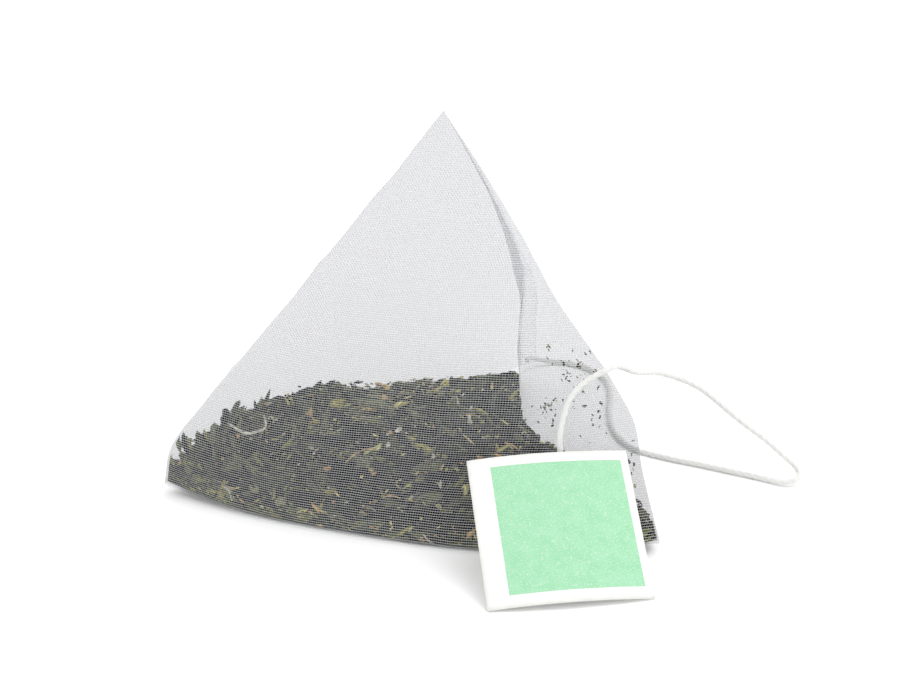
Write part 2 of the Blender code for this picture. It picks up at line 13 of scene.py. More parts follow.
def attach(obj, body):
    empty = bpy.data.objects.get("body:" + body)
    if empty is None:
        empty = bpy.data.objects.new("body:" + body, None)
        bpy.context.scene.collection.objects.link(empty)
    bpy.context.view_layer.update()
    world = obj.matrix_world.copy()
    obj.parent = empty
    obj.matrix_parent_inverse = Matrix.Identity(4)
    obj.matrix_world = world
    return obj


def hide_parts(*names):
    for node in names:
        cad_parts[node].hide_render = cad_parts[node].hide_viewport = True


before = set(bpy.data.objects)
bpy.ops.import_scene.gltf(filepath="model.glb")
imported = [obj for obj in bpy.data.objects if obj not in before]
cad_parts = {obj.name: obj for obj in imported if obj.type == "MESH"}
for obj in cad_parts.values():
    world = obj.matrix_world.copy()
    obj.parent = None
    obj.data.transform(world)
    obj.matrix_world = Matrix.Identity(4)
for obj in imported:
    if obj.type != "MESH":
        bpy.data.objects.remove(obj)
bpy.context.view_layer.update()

MM = 0.001
SEED = 41
rng = np.random.default_rng(SEED)

# ---- Camera, at the photograph's angle ----

FRAME_WIDTH = 897
FRAME_HEIGHT = 676
FOCAL_PIXELS = 1667.0
SENSOR_WIDTH = 36.0
CAMERA_AZIMUTH = math.radians(14.7)
CAMERA_ELEVATION = math.radians(21.0)
CAMERA_DISTANCE = 200.0
CAMERA_TARGET = (0.0, 2.46, 13.4)
CAMERA_SIDE_STEP = -0.7

TO_CAMERA = np.array((
    math.sin(CAMERA_AZIMUTH) * math.cos(CAMERA_ELEVATION),
    -math.cos(CAMERA_AZIMUTH) * math.cos(CAMERA_ELEVATION),
    math.sin(CAMERA_ELEVATION),
))
CAMERA_RIGHT = np.array((math.cos(CAMERA_AZIMUTH), math.sin(CAMERA_AZIMUTH), 0.0))
CAMERA_UP = np.cross(TO_CAMERA, CAMERA_RIGHT)
CAMERA_PLACE = (CAMERA_RIGHT * CAMERA_SIDE_STEP + np.array(CAMERA_TARGET)
                + TO_CAMERA * CAMERA_DISTANCE)


def make_camera():
    data = bpy.data.cameras.new("camera")
    data.sensor_width = SENSOR_WIDTH
    data.lens = FOCAL_PIXELS * SENSOR_WIDTH / FRAME_WIDTH
    data.clip_start = 0.01
    data.clip_end = 20.0
    camera = bpy.data.objects.new("camera", data)
    turn = Matrix((CAMERA_RIGHT, CAMERA_UP, TO_CAMERA)).transposed().to_4x4()
    camera.matrix_world = Matrix.Translation(Vector(CAMERA_PLACE * MM)) @ turn
    bpy.context.scene.collection.objects.link(camera)
    bpy.context.scene.camera = camera


def pixel_ray(x, y):
    """Direction from the camera through a pixel of the photograph."""
    across = x - FRAME_WIDTH / 2
    up = FRAME_HEIGHT / 2 - y
    ray = CAMERA_RIGHT * across + CAMERA_UP * up - TO_CAMERA * FOCAL_PIXELS
    return ray / np.linalg.norm(ray)


make_camera()


# ---- Mesh and node helpers ----

def unit(vector):
    return vector / np.linalg.norm(vector, axis=-1, keepdims=True)


def mesh_object(name, points, faces, finish, uv=None, tone=None, extra=None):
    """A smooth mesh from points in millimetres; uv is for each face corner, the rest for each point."""
    mesh = bpy.data.meshes.new(name)
    mesh.from_pydata((np.asarray(points) * MM).tolist(), [], [list(face) for face in faces])
    mesh.polygons.foreach_set("use_smooth", [True] * len(mesh.polygons))
    if uv is not None:
        layer = mesh.uv_layers.new(name="UVMap")
        layer.data.foreach_set("uv", np.asarray(uv, dtype=float).ravel())
    if tone is not None:
        colours = mesh.color_attributes.new("tone", "FLOAT_COLOR", "POINT")
        padded = np.concatenate([tone, np.ones((len(tone), 1))], axis=1)
        colours.data.foreach_set("color", padded.ravel())
    for key, values in (extra or {}).items():
        attribute = mesh.attributes.new(key, "FLOAT", "POINT")
        attribute.data.foreach_set("value", np.asarray(values, dtype=float))
    mesh.materials.append(finish)
    mesh.update()
    thing = bpy.data.objects.new(name, mesh)
    bpy.context.scene.collection.objects.link(thing)
    return thing


class Nodes:
    """Short calls for making a material's nodes."""

    def __init__(self, name):
        self.finish = bpy.data.materials.new(name)
        self.finish.use_nodes = True
        self.tree = self.finish.node_tree
        self.shader = self.tree.nodes["Principled BSDF"]

    def add(self, kind, values=None, **settings):
        node = self.tree.nodes.new(kind)
        for key, value in settings.items():
            setattr(node, key, value)
        for key, value in (values or {}).items():
            self.put(node.inputs[key], value)
        return node

    def put(self, socket, value):
        if isinstance(value, bpy.types.NodeSocket):
            self.tree.links.new(value, socket)
        else:
            socket.default_value = value

    def math(self, operation, first, second=0.0, clamp=False):
        node = self.add("ShaderNodeMath", {0: first, 1: second}, operation=operation)
        node.use_clamp = clamp
        return node.outputs[0]

    def spread(self, value, low, high, out_low=0.0, out_high=1.0):
        values = {"Value": value, "From Min": low, "From Max": high,
                  "To Min": out_low, "To Max": out_high}
        return self.add("ShaderNodeMapRange", values, interpolation_type="SMOOTHSTEP").outputs[0]

    def noise(self, vector, scale, detail=2.0, output="Fac"):
        values = {"Vector": vector, "Scale": scale, "Detail": detail}
        return self.add("ShaderNodeTexNoise", values).outputs[output]

    def mix(self, share, first, second):
        node = self.add("ShaderNodeMix", data_type="RGBA")
        self.put(node.inputs["Factor"], share)
        self.put(node.inputs["A"], first)
        self.put(node.inputs["B"], second)
        return node.outputs["Result"]

    def bump(self, height, strength, distance):
        values = {"Height": height, "Strength": strength, "Distance": distance}
        return self.add("ShaderNodeBump", values).outputs["Normal"]

    def principled(self, **values):
        for key, value in values.items():
            self.put(self.shader.inputs[key.replace("_", " ")], value)
        return self.finish


def colour(red, green, blue):
    """A linear colour from red, green and blue between 0 and 255 on screen."""
    channels = []
    for value in (red, green, blue):
        share = value / 255
        channels.append(share / 12.92 if share <= 0.04045 else ((share + 0.055) / 1.055) ** 2.4)
    return (*channels, 1.0)


# ---- Thread ----

THREAD_DIAMETER = 0.65
THREAD_RING_STEP = 0.13
THREAD_SIDES = 18
PLIES = 3
PLY_TURN = 2.1
PLY_VALLEY = 0.82
PLY_HEIGHT = 0.2
THREAD_SWELL = 0.05
FUZZ_COUNT = 260
FUZZ_LENGTH = (0.5, 1.3)
FUZZ_LEAN = (0.5, 1.2)
FUZZ_RADIUS = 0.014
FUZZ_RINGS = 4
FUZZ_SIDES = 3
THREAD_ROUTE = (
    (4.05, 25.73, 2), (4.4, 27.68, 1.5), (6, 29.48, 0.6), (8.8, 29.98, 0.36), (12.2, 28.48, 0.36),
    (14.9, 25.18, 0.36), (16.3, 20.38, 0.36), (17.1, 14.98, 0.36), (18.5, 9.58, 0.36), (21.3, 5.18, 0.36),
    (25.3, 3.38, 0.36), (31, 2.08, 0.36), (36.6, 0.68, 0.36), (39.6, -0.22, 0.42), (41, -0.12, 0.65),
    (41.7, 0.88, 1), (41.2, 1.78, 1.6), (39.7, 1.88, 2.8), (37.6, 1.93, 4.5), (34.2, 2.18, 6.7),
    (29.5, 2.08, 10.2), (25.5, 0.18, 12.3), (23.2, -5.02, 14.3), (22.3, -10.62, 17), (22.1, -13.52, 18.25),
    (21.3, -15.37, 18.45), (19.2, -16.52, 17.25), (17.95, -17.62, 15.85), (17.4, -18.62, 14),
    (17.2, -19.39, 12), (17.43, -19.81, 9.98), (18.26, -21.74, 8.49), (19.08, -23.68, 6.99),
    (20.17, -26.26, 5),
)


def smooth_route(route, spacing):
    """Points along a smooth curve through the route's points, about this far apart."""
    route = [np.array(point) for point in route]
    padded = [2 * route[0] - route[1]] + route + [2 * route[-1] - route[-2]]
    points = [route[0]]
    for before, start, end, after in zip(padded, padded[1:], padded[2:], padded[3:]):
        count = max(1, round(np.linalg.norm(end - start) / spacing))
        for k in range(1, count + 1):
            t = k / count
            points.append(0.5 * (2 * start + (end - before) * t
                                 + (2 * before - 5 * start + 4 * end - after) * t ** 2
                                 + (3 * start - before - 3 * end + after) * t ** 3))
    return np.array(points)


def carried_frames(points):
    """Two directions across a path at each of its points, turned as little as possible."""
    along = unit(np.gradient(points, axis=0))
    side = unit(np.cross(along[0], (0.0, 0.0, 1.0)))
    sides = []
    for direction in along:
        side = unit(side - direction * (side @ direction))
        sides.append(side)
    sides = np.array(sides)
    return sides, np.cross(along, sides)


def thread_material():
    n = Nodes("cotton")
    place = n.add("ShaderNodeUVMap").outputs["UV"]
    stretched = n.add("ShaderNodeMapping", {"Vector": place, "Scale": (1.2, 14.0, 1.0)}).outputs[0]
    fibres = n.noise(stretched, 4.0, 4.0)
    body = n.mix(n.spread(fibres, 0.3, 0.7), colour(214, 214, 211), colour(232, 232, 230))
    return n.principled(Base_Color=body, Roughness=0.85, Sheen_Weight=0.15, Sheen_Roughness=0.5,
                        Normal=n.bump(fibres, 0.5, 0.00006))


def make_thread(finish):
    points = smooth_route(THREAD_ROUTE, THREAD_RING_STEP)
    sides, ups = carried_frames(points)
    reach = np.concatenate([[0.0], np.cumsum(np.linalg.norm(np.diff(points, axis=0), axis=1))])
    rings = []
    for k, (point, side, up) in enumerate(zip(points, sides, ups)):
        twist = PLY_TURN * reach[k]
        angles = 2 * math.pi * np.arange(THREAD_SIDES) / THREAD_SIDES
        lobe = np.abs(np.cos(PLIES / 2 * (angles - twist)))
        swell = 1 + THREAD_SWELL * noise.noise(Vector((reach[k] * 0.7, 0.0, 3.0)))
        radius = THREAD_DIAMETER / 2 * swell * (PLY_VALLEY + PLY_HEIGHT * lobe)
        around = np.cos(angles)[:, None] * side + np.sin(angles)[:, None] * up
        rings.append(point + radius[:, None] * around)
    vertices = np.concatenate(rings + [points[:1], points[-1:]])
    vertices[:, 2] = np.maximum(vertices[:, 2], 0.0)
    faces, uv = [], []
    for ring in range(len(points) - 1):
        for k in range(THREAD_SIDES):
            nxt = (k + 1) % THREAD_SIDES
            low, high = ring * THREAD_SIDES, (ring + 1) * THREAD_SIDES
            faces.append((low + k, low + nxt, high + nxt, high + k))
            for r, c in ((ring, k), (ring, k + 1), (ring + 1, k + 1), (ring + 1, k)):
                uv.append((reach[r], c / THREAD_SIDES - PLY_TURN * reach[r] / (2 * math.pi)))
    first_cap, last_cap = len(vertices) - 2, len(vertices) - 1
    last = (len(points) - 1) * THREAD_SIDES
    for k in range(THREAD_SIDES):
        nxt = (k + 1) % THREAD_SIDES
        faces.append((first_cap, nxt, k))
        faces.append((last_cap, last + k, last + nxt))
        uv += [(0.0, 0.0)] * 6
    piece = mesh_object("cotton_thread", vertices, faces, finish, uv)
    return piece, points, reach[-1]


def make_fuzz(finish, points):
    """Loose fibres that stand off the thread."""
    vertices, faces = [], []
    sides, ups = carried_frames(points)
    for _ in range(FUZZ_COUNT):
        k = int(rng.integers(4, len(points) - 4))
        angle = rng.uniform(0, 2 * math.pi)
        across = math.cos(angle) * sides[k] + math.sin(angle) * ups[k]
        along = unit(points[k + 1] - points[k - 1])
        length = rng.uniform(*FUZZ_LENGTH)
        lean = rng.uniform(*FUZZ_LEAN) * rng.choice((-1, 1))
        start = points[k] + across * THREAD_DIAMETER * 0.42
        previous = None
        for step in range(FUZZ_RINGS):
            t = step / (FUZZ_RINGS - 1)
            spine = start + along * lean * length * t + across * (0.35 * length * math.sin(t * 2.2))
            radius = FUZZ_RADIUS * (1.1 - t)
            ring = []
            for corner in range(FUZZ_SIDES):
                turn = 2 * math.pi * corner / FUZZ_SIDES
                offset = radius * (math.cos(turn) * across + math.sin(turn) * np.cross(along, across))
                ring.append(len(vertices))
                place = spine + offset
                vertices.append((place[0], place[1], max(place[2], 0.0)))
            if previous:
                for a in range(FUZZ_SIDES):
                    b = (a + 1) % FUZZ_SIDES
                    faces.append((previous[a], previous[b], ring[b], ring[a]))
            previous = ring
    uv = np.zeros((sum(len(face) for face in faces), 2))
    return mesh_object("cotton_fuzz", vertices, faces, finish, uv)


cotton = thread_material()
thread, thread_points, thread_length = make_thread(cotton)
fuzz = make_fuzz(cotton, thread_points[::8])

# ---- Tag ----

TAG_SIZE = 17.2
TAG_THICKNESS = 0.3
TAG_BOW = 0.7
TAG_TURN = math.radians(23.0)
TAG_LEAN = math.radians(54.595)
TAG_FOOT = (13.6, -36.744, 0.122)
TAG_CELLS = 32
TAG_RIM = 0.35
CURL_RIGHT = 0.28
CURL_LEFT = 0.22
FIELD_LEFT = 0.135
FIELD_RIGHT = 0.95
FIELD_FOOT = 0.075
FIELD_TOP = 0.93


def on_tag(x, y, z):
    """Turns and leans points that are given along, behind and up the upright tag."""
    back = y * math.cos(TAG_LEAN) + z * math.sin(TAG_LEAN)
    height = z * math.cos(TAG_LEAN) - y * math.sin(TAG_LEAN)
    return np.stack((
        TAG_FOOT[0] + x * math.cos(TAG_TURN) - back * math.sin(TAG_TURN),
        TAG_FOOT[1] + x * math.sin(TAG_TURN) + back * math.cos(TAG_TURN),
        TAG_FOOT[2] + height,
    ), axis=-1)


def paper_material():
    n = Nodes("tag_paper")
    place = n.add("ShaderNodeUVMap").outputs["UV"]
    across, up, _ = n.add("ShaderNodeSeparateXYZ", {0: place}).outputs
    ragged = n.math("MULTIPLY", n.math("SUBTRACT", n.noise(place, 90.0, 3.0), 0.5), 0.006)
    left = n.math("GREATER_THAN", n.math("ADD", across, ragged), FIELD_LEFT)
    right = n.math("LESS_THAN", n.math("ADD", across, ragged), FIELD_RIGHT)
    foot = n.math("GREATER_THAN", n.math("ADD", up, ragged), FIELD_FOOT)
    top = n.math("LESS_THAN", n.math("ADD", up, ragged), FIELD_TOP)
    field = n.math("MULTIPLY", n.math("MULTIPLY", left, right), n.math("MULTIPLY", foot, top))
    flecks = n.spread(n.noise(place, 95.0, 4.0), 0.55, 0.68)
    big_flecks = n.spread(n.noise(place, 26.0, 3.0), 0.6, 0.72)
    mottle = n.noise(place, 12.0, 3.0)
    green = n.mix(n.spread(mottle, 0.3, 0.7), colour(148, 206, 165), colour(158, 211, 174))
    green = n.mix(n.math("MULTIPLY", flecks, 0.75), green, colour(208, 226, 200))
    green = n.mix(n.math("MULTIPLY", big_flecks, 0.5), green, colour(192, 221, 191))
    cloud = n.spread(n.noise(place, 18.0, 4.0), 0.3, 0.7)
    white = n.mix(cloud, colour(228, 228, 224), colour(235, 235, 231))
    front = n.add("ShaderNodeAttribute", attribute_name="front").outputs["Fac"]
    body = n.mix(n.math("MULTIPLY", field, front), white, green)
    grain = n.noise(place, 150.0, 4.0)
    return n.principled(Base_Color=body, Roughness=0.72, Normal=n.bump(grain, 0.22, 0.00005))


def make_tag(finish):
    """The bowed square of paper, with its two sides and a slightly rounded rim."""
    places = np.linspace(0.0, 1.0, TAG_CELLS + 1)
    count = TAG_CELLS + 1
    across, up = np.meshgrid(places, places)
    bow = -TAG_BOW * 4 * across * (1 - across)
    curl = CURL_RIGHT * np.maximum(0.0, across + up - 1.55) ** 2
    curl = curl - CURL_LEFT * np.maximum(0.0, up - across - 0.6) ** 2
    bow = bow - curl
    half = TAG_THICKNESS / 2
    edge = np.minimum(np.minimum(across, 1 - across), np.minimum(up, 1 - up)) * TAG_SIZE
    rounding = np.where(edge < 1e-6, TAG_RIM, 1.0)
    front = on_tag(across * TAG_SIZE, bow - half * rounding, up * TAG_SIZE).reshape(-1, 3)
    back = on_tag(across * TAG_SIZE, bow + half * rounding, up * TAG_SIZE).reshape(-1, 3)
    points = np.concatenate([front, back])
    total = count * count
    faces, uv = [], []

    def corner(row, column):
        return row * count + column

    def place_uv(index):
        row, column = divmod(index % total, count)
        return (places[column], places[row])

    for row in range(TAG_CELLS):
        for column in range(TAG_CELLS):
            quad = [corner(row, column), corner(row, column + 1),
                    corner(row + 1, column + 1), corner(row + 1, column)]
            faces.append(quad)
            faces.append([total + index for index in reversed(quad)])
    rim = [corner(0, c) for c in range(TAG_CELLS)]
    rim += [corner(r, TAG_CELLS) for r in range(TAG_CELLS)]
    rim += [corner(TAG_CELLS, c) for c in range(TAG_CELLS, 0, -1)]
    rim += [corner(r, 0) for r in range(TAG_CELLS, 0, -1)]
    for a, b in zip(rim, rim[1:] + rim[:1]):
        faces.append([a, total + a, total + b, b])
    for face in faces:
        uv += [place_uv(index) for index in face]
    points[:, 2] = np.maximum(points[:, 2], 0.0)
    is_front = np.concatenate([np.ones(total), np.zeros(total)])
    return mesh_object("paper_tag", points, faces, finish, uv, extra={"front": is_front})


paper_tag = make_tag(paper_material())

# ---- The bag's surface, as the CAD model has it ----

WALL = 0.36
CORNER_LIFT = 1.1
FRONT_FIN_WIDTH = 0.7
FRONT_FIN_TILT = math.radians(15.0)
BACK_FIN_WIDTH = 2.3
BACK_FIN_FOLD = math.radians(68.0)
BACK_FIN_START = 25.0
BACK_FIN_TAPER = 16.0
CORNER = {
    "apex": np.array((2.5, -11.944, 44.6)),
    "left": np.array((-28.4, -20.044, 1.28)),
    "right": np.array((28.4, -20.044, 1.28)),
    "back": np.array((3.3, 24.956, 1.28)),
}
NAMES = ("apex", "left", "right", "back")
SWELL = {"front": 1.4, "left": 2.0, "right": -1.2}
FACES = {"front": (0, 1, 2), "left": (0, 3, 1), "right": (0, 2, 3)}
APEX_TO_LEFT = ((0, 0), (0.25, -0.5), (0.5, -1.2), (0.78, -2.1), (0.9, -2.3), (1, 0))
APEX_TO_RIGHT = ((0, 0), (0.15, 1.0), (0.45, 1.7), (0.72, 2.8), (0.87, 1.0), (1, 0))
APEX_TO_BACK = ((0, 0), (0.3, 2.9), (0.55, 3.9), (0.8, 1.4), (1, 0))
BACK_TO_RIGHT = ((0, 0), (0.35, -4.4), (0.55, -3.2), (0.8, 1.2), (1, 0))
BACK_TO_LEFT = ((0, 0), (0.5, -1.2), (1, 0))
APEX_TO_RIGHT_BACK = ((0, 0), (0.45, 1.4), (0.72, 2.9), (0.87, 2.2), (1, 0))
SEAL_BOW = ((0, 0), (0.2, 3.0), (0.42, 4.5), (0.62, 4.9), (0.85, 2.9), (1, 0))
FLAT_SHARE = 0.7
SIDEWAYS = {(0, 1): APEX_TO_LEFT, (0, 2): APEX_TO_RIGHT, (0, 3): APEX_TO_BACK,
            (3, 2): BACK_TO_RIGHT, (3, 1): BACK_TO_LEFT}
EDGES = ((0, 1), (0, 2), (0, 3), (3, 2), (3, 1), (1, 2))
CORNERS = np.array([CORNER[name] for name in NAMES])


def bend(table, t):
    """Reads a smooth curve through (place, value) pairs, for an array of places."""
    places = np.array([row[0] for row in table], dtype=float)
    values = np.array([row[1] for row in table], dtype=float)
    last = len(table) - 1
    k = np.clip(np.searchsorted(places, t, side="right") - 1, 0, last - 1)
    low = np.maximum(np.arange(last + 1) - 1, 0)
    high = np.minimum(np.arange(last + 1) + 1, last)
    slopes = (values[high] - values[low]) / (places[high] - places[low])
    span = places[k + 1] - places[k]
    s = (t - places[k]) / span
    rise = values[k + 1] - values[k]
    start, end = slopes[k] * span, slopes[k + 1] * span
    square = 3 * rise - 2 * start - end
    return values[k] + s * start + s * s * square + s ** 3 * (start + end - 2 * rise)


def corner_rise(share):
    return CORNER_LIFT * np.maximum(0.0, (share - FLAT_SHARE) / (1 - FLAT_SHARE)) ** 2


def edge_offset(first, second, t):
    """How far an edge of the pyramid bends away from a straight line, at places along it."""
    offset = np.zeros((len(t), 3))
    if (first, second) in SIDEWAYS:
        offset[:, 0] = bend(SIDEWAYS[first, second], t)
    if (first, second) == (0, 2):
        offset[:, 1] = bend(APEX_TO_RIGHT_BACK, t)
    if (first, second) == (1, 2):
        offset[:, 1] = -bend(SEAL_BOW, t)
    if first != 0:
        offset[:, 2] = corner_rise(np.maximum(t, 1 - t)) - CORNER_LIFT
    return offset


def surface(share):
    """The bag's surface at rows of corner shares: apex, left, right, back."""
    point = share @ CORNERS
    for first, second in EDGES:
        both = share[:, first] + share[:, second]
        t = np.where(both > 1e-9, share[:, second] / np.maximum(both, 1e-9), 0.0)
        point = point + (both ** 2)[:, None] * edge_offset(first, second, t)
    for face, (a, b, c) in FACES.items():
        normal = unit(np.cross(CORNERS[b] - CORNERS[a], CORNERS[c] - CORNERS[a]))
        swell = 27 * share[:, a] * share[:, b] * share[:, c]
        point = point + SWELL[face] * swell[:, None] * normal
    on_base = share[:, 0] < 1e-9
    most = share[:, 1:].max(axis=1)
    point[:, 2] = np.where(on_base, WALL / 2 + corner_rise(most), point[:, 2])
    return point


def shares(around, along):
    """Corner shares at places on the flat tube: around runs 0 to 4 half widths, along 0 to 1."""
    share = np.zeros((len(around), 4))
    front = (along <= around) & (around <= 2 - along)
    right = ~front & (np.abs(around - 2) <= along)
    base = ~front & ~right & (2 + along <= around) & (around <= 4 - along)
    left = ~front & ~right & ~base
    half = (around - along) / 2
    share[front] = np.stack((along, 1 - along - half, half, 0 * along), axis=1)[front]
    back = (around - 2 + along) / 2
    share[right] = np.stack((along - back, 0 * along, 1 - along, back), axis=1)[right]
    side = (around - 2 - along) / 2
    share[base] = np.stack((0 * along, side, 1 - along - side, along), axis=1)[base]
    wrapped = np.where(around > 2, around - 4, around)
    apex = (wrapped + along) / 2
    share[left] = np.stack((apex, 1 - along, 0 * along, along - apex), axis=1)[left]
    return share


# ---- Bag cloth ----

CELLS = 96
FIN_ROWS = 7
HALF_WIDTH = 28.4
TUBE_LENGTH = 47.0
THREADS_AROUND = 456
PITCH = 4 * HALF_WIDTH / THREADS_AROUND
LAYER_GAP = 0.1
SLOW_WAVE = 0.42
FINE_WAVE = 0.1
CREASE = 0.16
LOWEST_MESH = 0.03
LEAST_FIN_SHARE = 0.15
SLOW_RIPPLE = 0.16
FINE_RIPPLE = 0.07
# How far the base is cleared and paled, as painted light over the shade under the bag.
BASE_CLEAR_AND_LIT = 0.45
FIN_FADE = 0.25
SEAM_MIDDLE = 0.3
SEAM_SPREAD = 0.35
CUT_EDGE = 0.3
CUT_FADE = 0.2


def fin_direction(first, second):
    """Directions along a seal, out across its fin, and square to both."""
    along = unit(CORNER[second] - CORNER[first])
    if first == "left":
        out = np.array((0.0, -math.cos(FRONT_FIN_TILT), math.sin(FRONT_FIN_TILT)))
        return along, out, unit(np.cross(out, along))
    straight = unit(np.cross(along, (-1.0, 0.0, 0.0)))
    side = unit(np.cross(straight, along))
    side = side if side[0] > 0 else -side
    out = math.cos(BACK_FIN_FOLD) * straight + math.sin(BACK_FIN_FOLD) * side
    return along, out, unit(np.cross(along, out))


def wrinkles(points, normals, share):
    """Soft waves and small creases in the mesh, which fade towards the base and the corners."""
    calm = np.clip(share[:, 0] * 5.0, 0.0, 1.0) * (share[:, 0] > 1e-9)
    inner = 1 - share.max(axis=1)
    calm = calm * np.clip(inner * 4.0, 0.15, 1.0)
    offset = np.zeros(len(points))
    for k, point in enumerate(points):
        if calm[k] <= 0:
            continue
        slow = noise.noise(Vector(point * (0.07, 0.07, 0.09)) + Vector((5.2, 1.7, 0.3)))
        fine = noise.noise(Vector(point * 0.24) + Vector((1.0, 7.0, 2.0)))
        ridge = 1 - abs(noise.noise(Vector(point * (0.05, 0.05, 0.13)) + Vector((9.0, 2.0, 4.0)))) * 7
        offset[k] = calm[k] * (SLOW_WAVE * slow + FINE_WAVE * fine + CREASE * max(0.0, ridge))
    return points + normals * offset[:, None]


def cloth_grid():
    """The mesh without its fins, as a grid with rows along the tube and columns round it."""
    columns = 4 * CELLS
    around = np.arange(columns) / CELLS
    along = np.arange(CELLS + 1) / CELLS
    u = np.tile(around, CELLS + 1)
    v = np.repeat(along, columns)
    share = shares(u, v)
    flat = surface(share)
    grid = flat.reshape(CELLS + 1, columns, 3)
    du = np.roll(grid, -1, axis=1) - np.roll(grid, 1, axis=1)
    dv = np.gradient(grid, axis=0)
    normal = np.cross(du, dv)
    lengths = np.linalg.norm(normal, axis=2, keepdims=True)
    normal = (normal / np.maximum(lengths, 1e-9)).reshape(-1, 3)
    moved = wrinkles(flat, normal, share)
    return moved.reshape(CELLS + 1, columns, 3)


def fin_rows(grid, row, start, first, second):
    """Rows of points from a seal out to its cut edge, two layers with a ripple in both."""
    along, out, normal = fin_direction(first, second)
    columns = grid.shape[1]
    sign = np.zeros(columns)
    for k in range(1, columns // 2):
        sign[(start + k) % columns] = 1.0
        sign[(start - k) % columns] = -1.0
    centre = (CORNER[first] + CORNER[second]) / 2
    seam = grid[row]
    reach = (seam - centre) @ along
    width = np.full(columns, FRONT_FIN_WIDTH)
    if first == "apex":
        from_apex = np.linalg.norm(seam - CORNER["apex"], axis=1)
        taper = (from_apex - BACK_FIN_START) / BACK_FIN_TAPER
        width = BACK_FIN_WIDTH * np.clip(taper, LEAST_FIN_SHARE, 1.0)
    rows = []
    for step in range(1, FIN_ROWS + 1):
        d = (width * step / FIN_ROWS)[:, None]
        open_share = width[0] / BACK_FIN_WIDTH * (step / FIN_ROWS) ** 2
        ripple = SLOW_RIPPLE * open_share * np.sin(reach * 0.55 + 1.3)
        ripple = ripple + FINE_RIPPLE * open_share * np.sin(reach * 1.7)
        gap = LAYER_GAP / 2 * (0.4 + open_share)
        rows.append(seam + out * d + normal * (ripple + sign * gap)[:, None])
    return rows


def cloth_points():
    """The grid with the rows of both fins, and its number of columns."""
    grid = cloth_grid()
    columns = grid.shape[1]
    front_rows = fin_rows(grid, 0, 0, "left", "right")
    back_rows = fin_rows(grid, CELLS, CELLS, "apex", "back")
    rows = front_rows[::-1] + [grid[k] for k in range(CELLS + 1)] + back_rows
    return np.array(rows), columns


def make_cloth(finish):
    """The mesh with its fins, and a search tree for each of the bag's four walls."""
    rows, columns = cloth_points()
    count = len(rows)
    points = rows.reshape(-1, 3)
    points[:, 2] = np.maximum(points[:, 2], LOWEST_MESH)
    from_seam = np.zeros(count)
    heights = np.zeros(count)
    for k in range(count):
        if k < FIN_ROWS:
            from_seam[k] = FRONT_FIN_WIDTH * (FIN_ROWS - k) / FIN_ROWS
            heights[k] = -from_seam[k]
        elif k > FIN_ROWS + CELLS:
            from_seam[k] = BACK_FIN_WIDTH * (k - FIN_ROWS - CELLS) / FIN_ROWS
            heights[k] = TUBE_LENGTH + from_seam[k]
        else:
            heights[k] = TUBE_LENGTH * (k - FIN_ROWS) / CELLS
    faces, uv = [], []
    walls = {"front": [], "right": [], "base": [], "left": []}
    for row in range(count - 1):
        for column in range(columns):
            nxt = (column + 1) % columns
            corners = [(row, column), (row, nxt), (row + 1, nxt), (row + 1, column)]
            a, b, c, d = (r * columns + col for r, col in corners)
            left, right = column / CELLS, (column + 1) / CELLS
            spots = {a: (left, row), b: (right, row), c: (right, row + 1), d: (left, row + 1)}
            rising = (column // CELLS) % 2 == 0
            halves = ((a, b, c), (a, c, d)) if rising else ((a, b, d), (b, c, d))
            for half in halves:
                faces.append(half)
                for index in half:
                    place, line = spots[index]
                    uv.append((place * HALF_WIDTH / PITCH, heights[line] / PITCH))
                if FIN_ROWS <= row < FIN_ROWS + CELLS:
                    place = sum(spots[index][0] for index in half) / 3
                    line = sum(spots[index][1] - FIN_ROWS for index in half) / 3 / CELLS
                    walls[wall_at(place, line)].append(half)
    fused = np.repeat(from_seam, columns)
    edge = np.where(np.arange(count) < FIN_ROWS, FRONT_FIN_WIDTH, BACK_FIN_WIDTH).repeat(columns)
    weld = np.exp(-((fused - SEAM_MIDDLE) / SEAM_SPREAD) ** 2) * (fused > 0)
    weld = weld + np.clip((fused - edge + CUT_EDGE) / CUT_FADE, 0.0, 1.0)
    around = np.tile(np.arange(columns) / CELLS, count)
    along = np.clip((np.arange(count) - FIN_ROWS) / CELLS, 0.0, 1.0).repeat(columns)
    on_base = (around >= 2 + along) & (around <= 4 - along)
    on_fin = np.clip(fused / FIN_FADE, 0.0, 1.0)
    # The second mark makes the fins, and the base at a smaller share, more see-through and paints them
    # paler, as painted light that lifts the shade on the fins and under the bag.
    marks = {"weld": np.clip(weld, 0.0, 1.0), "clear_and_lit": np.maximum(BASE_CLEAR_AND_LIT * on_base, on_fin)}
    piece = mesh_object("mesh_cloth", points, faces, finish, uv, extra=marks)
    vectors = [Vector(point) for point in points]
    trees = {name: BVHTree.FromPolygons(vectors, triangles) for name, triangles in walls.items()}
    return piece, trees


def wall_at(around, along):
    """The face of the bag that a place on the flat tube belongs to."""
    if along <= around <= 2 - along:
        return "front"
    if abs(around - 2) <= along:
        return "right"
    if 2 + along <= around <= 4 - along:
        return "base"
    return "left"


# The weave: the share of the pitch that a thread covers, and how far the upright threads hide what is
# behind them. The level threads catch the light, so they look wider and more solid. The gaps are grey,
# as the photograph has the grey of its first background in them.
WARP_SHARE = 0.085
WARP_SOLID = 0.5
WEFT_SHARE = 0.115
SOFT_EDGE = 0.03
GAP_SHADE = 0.785
FUSED_FADE = 0.6
WELD_SOLID = 0.15
WEAVE_DRIFT = 1.6


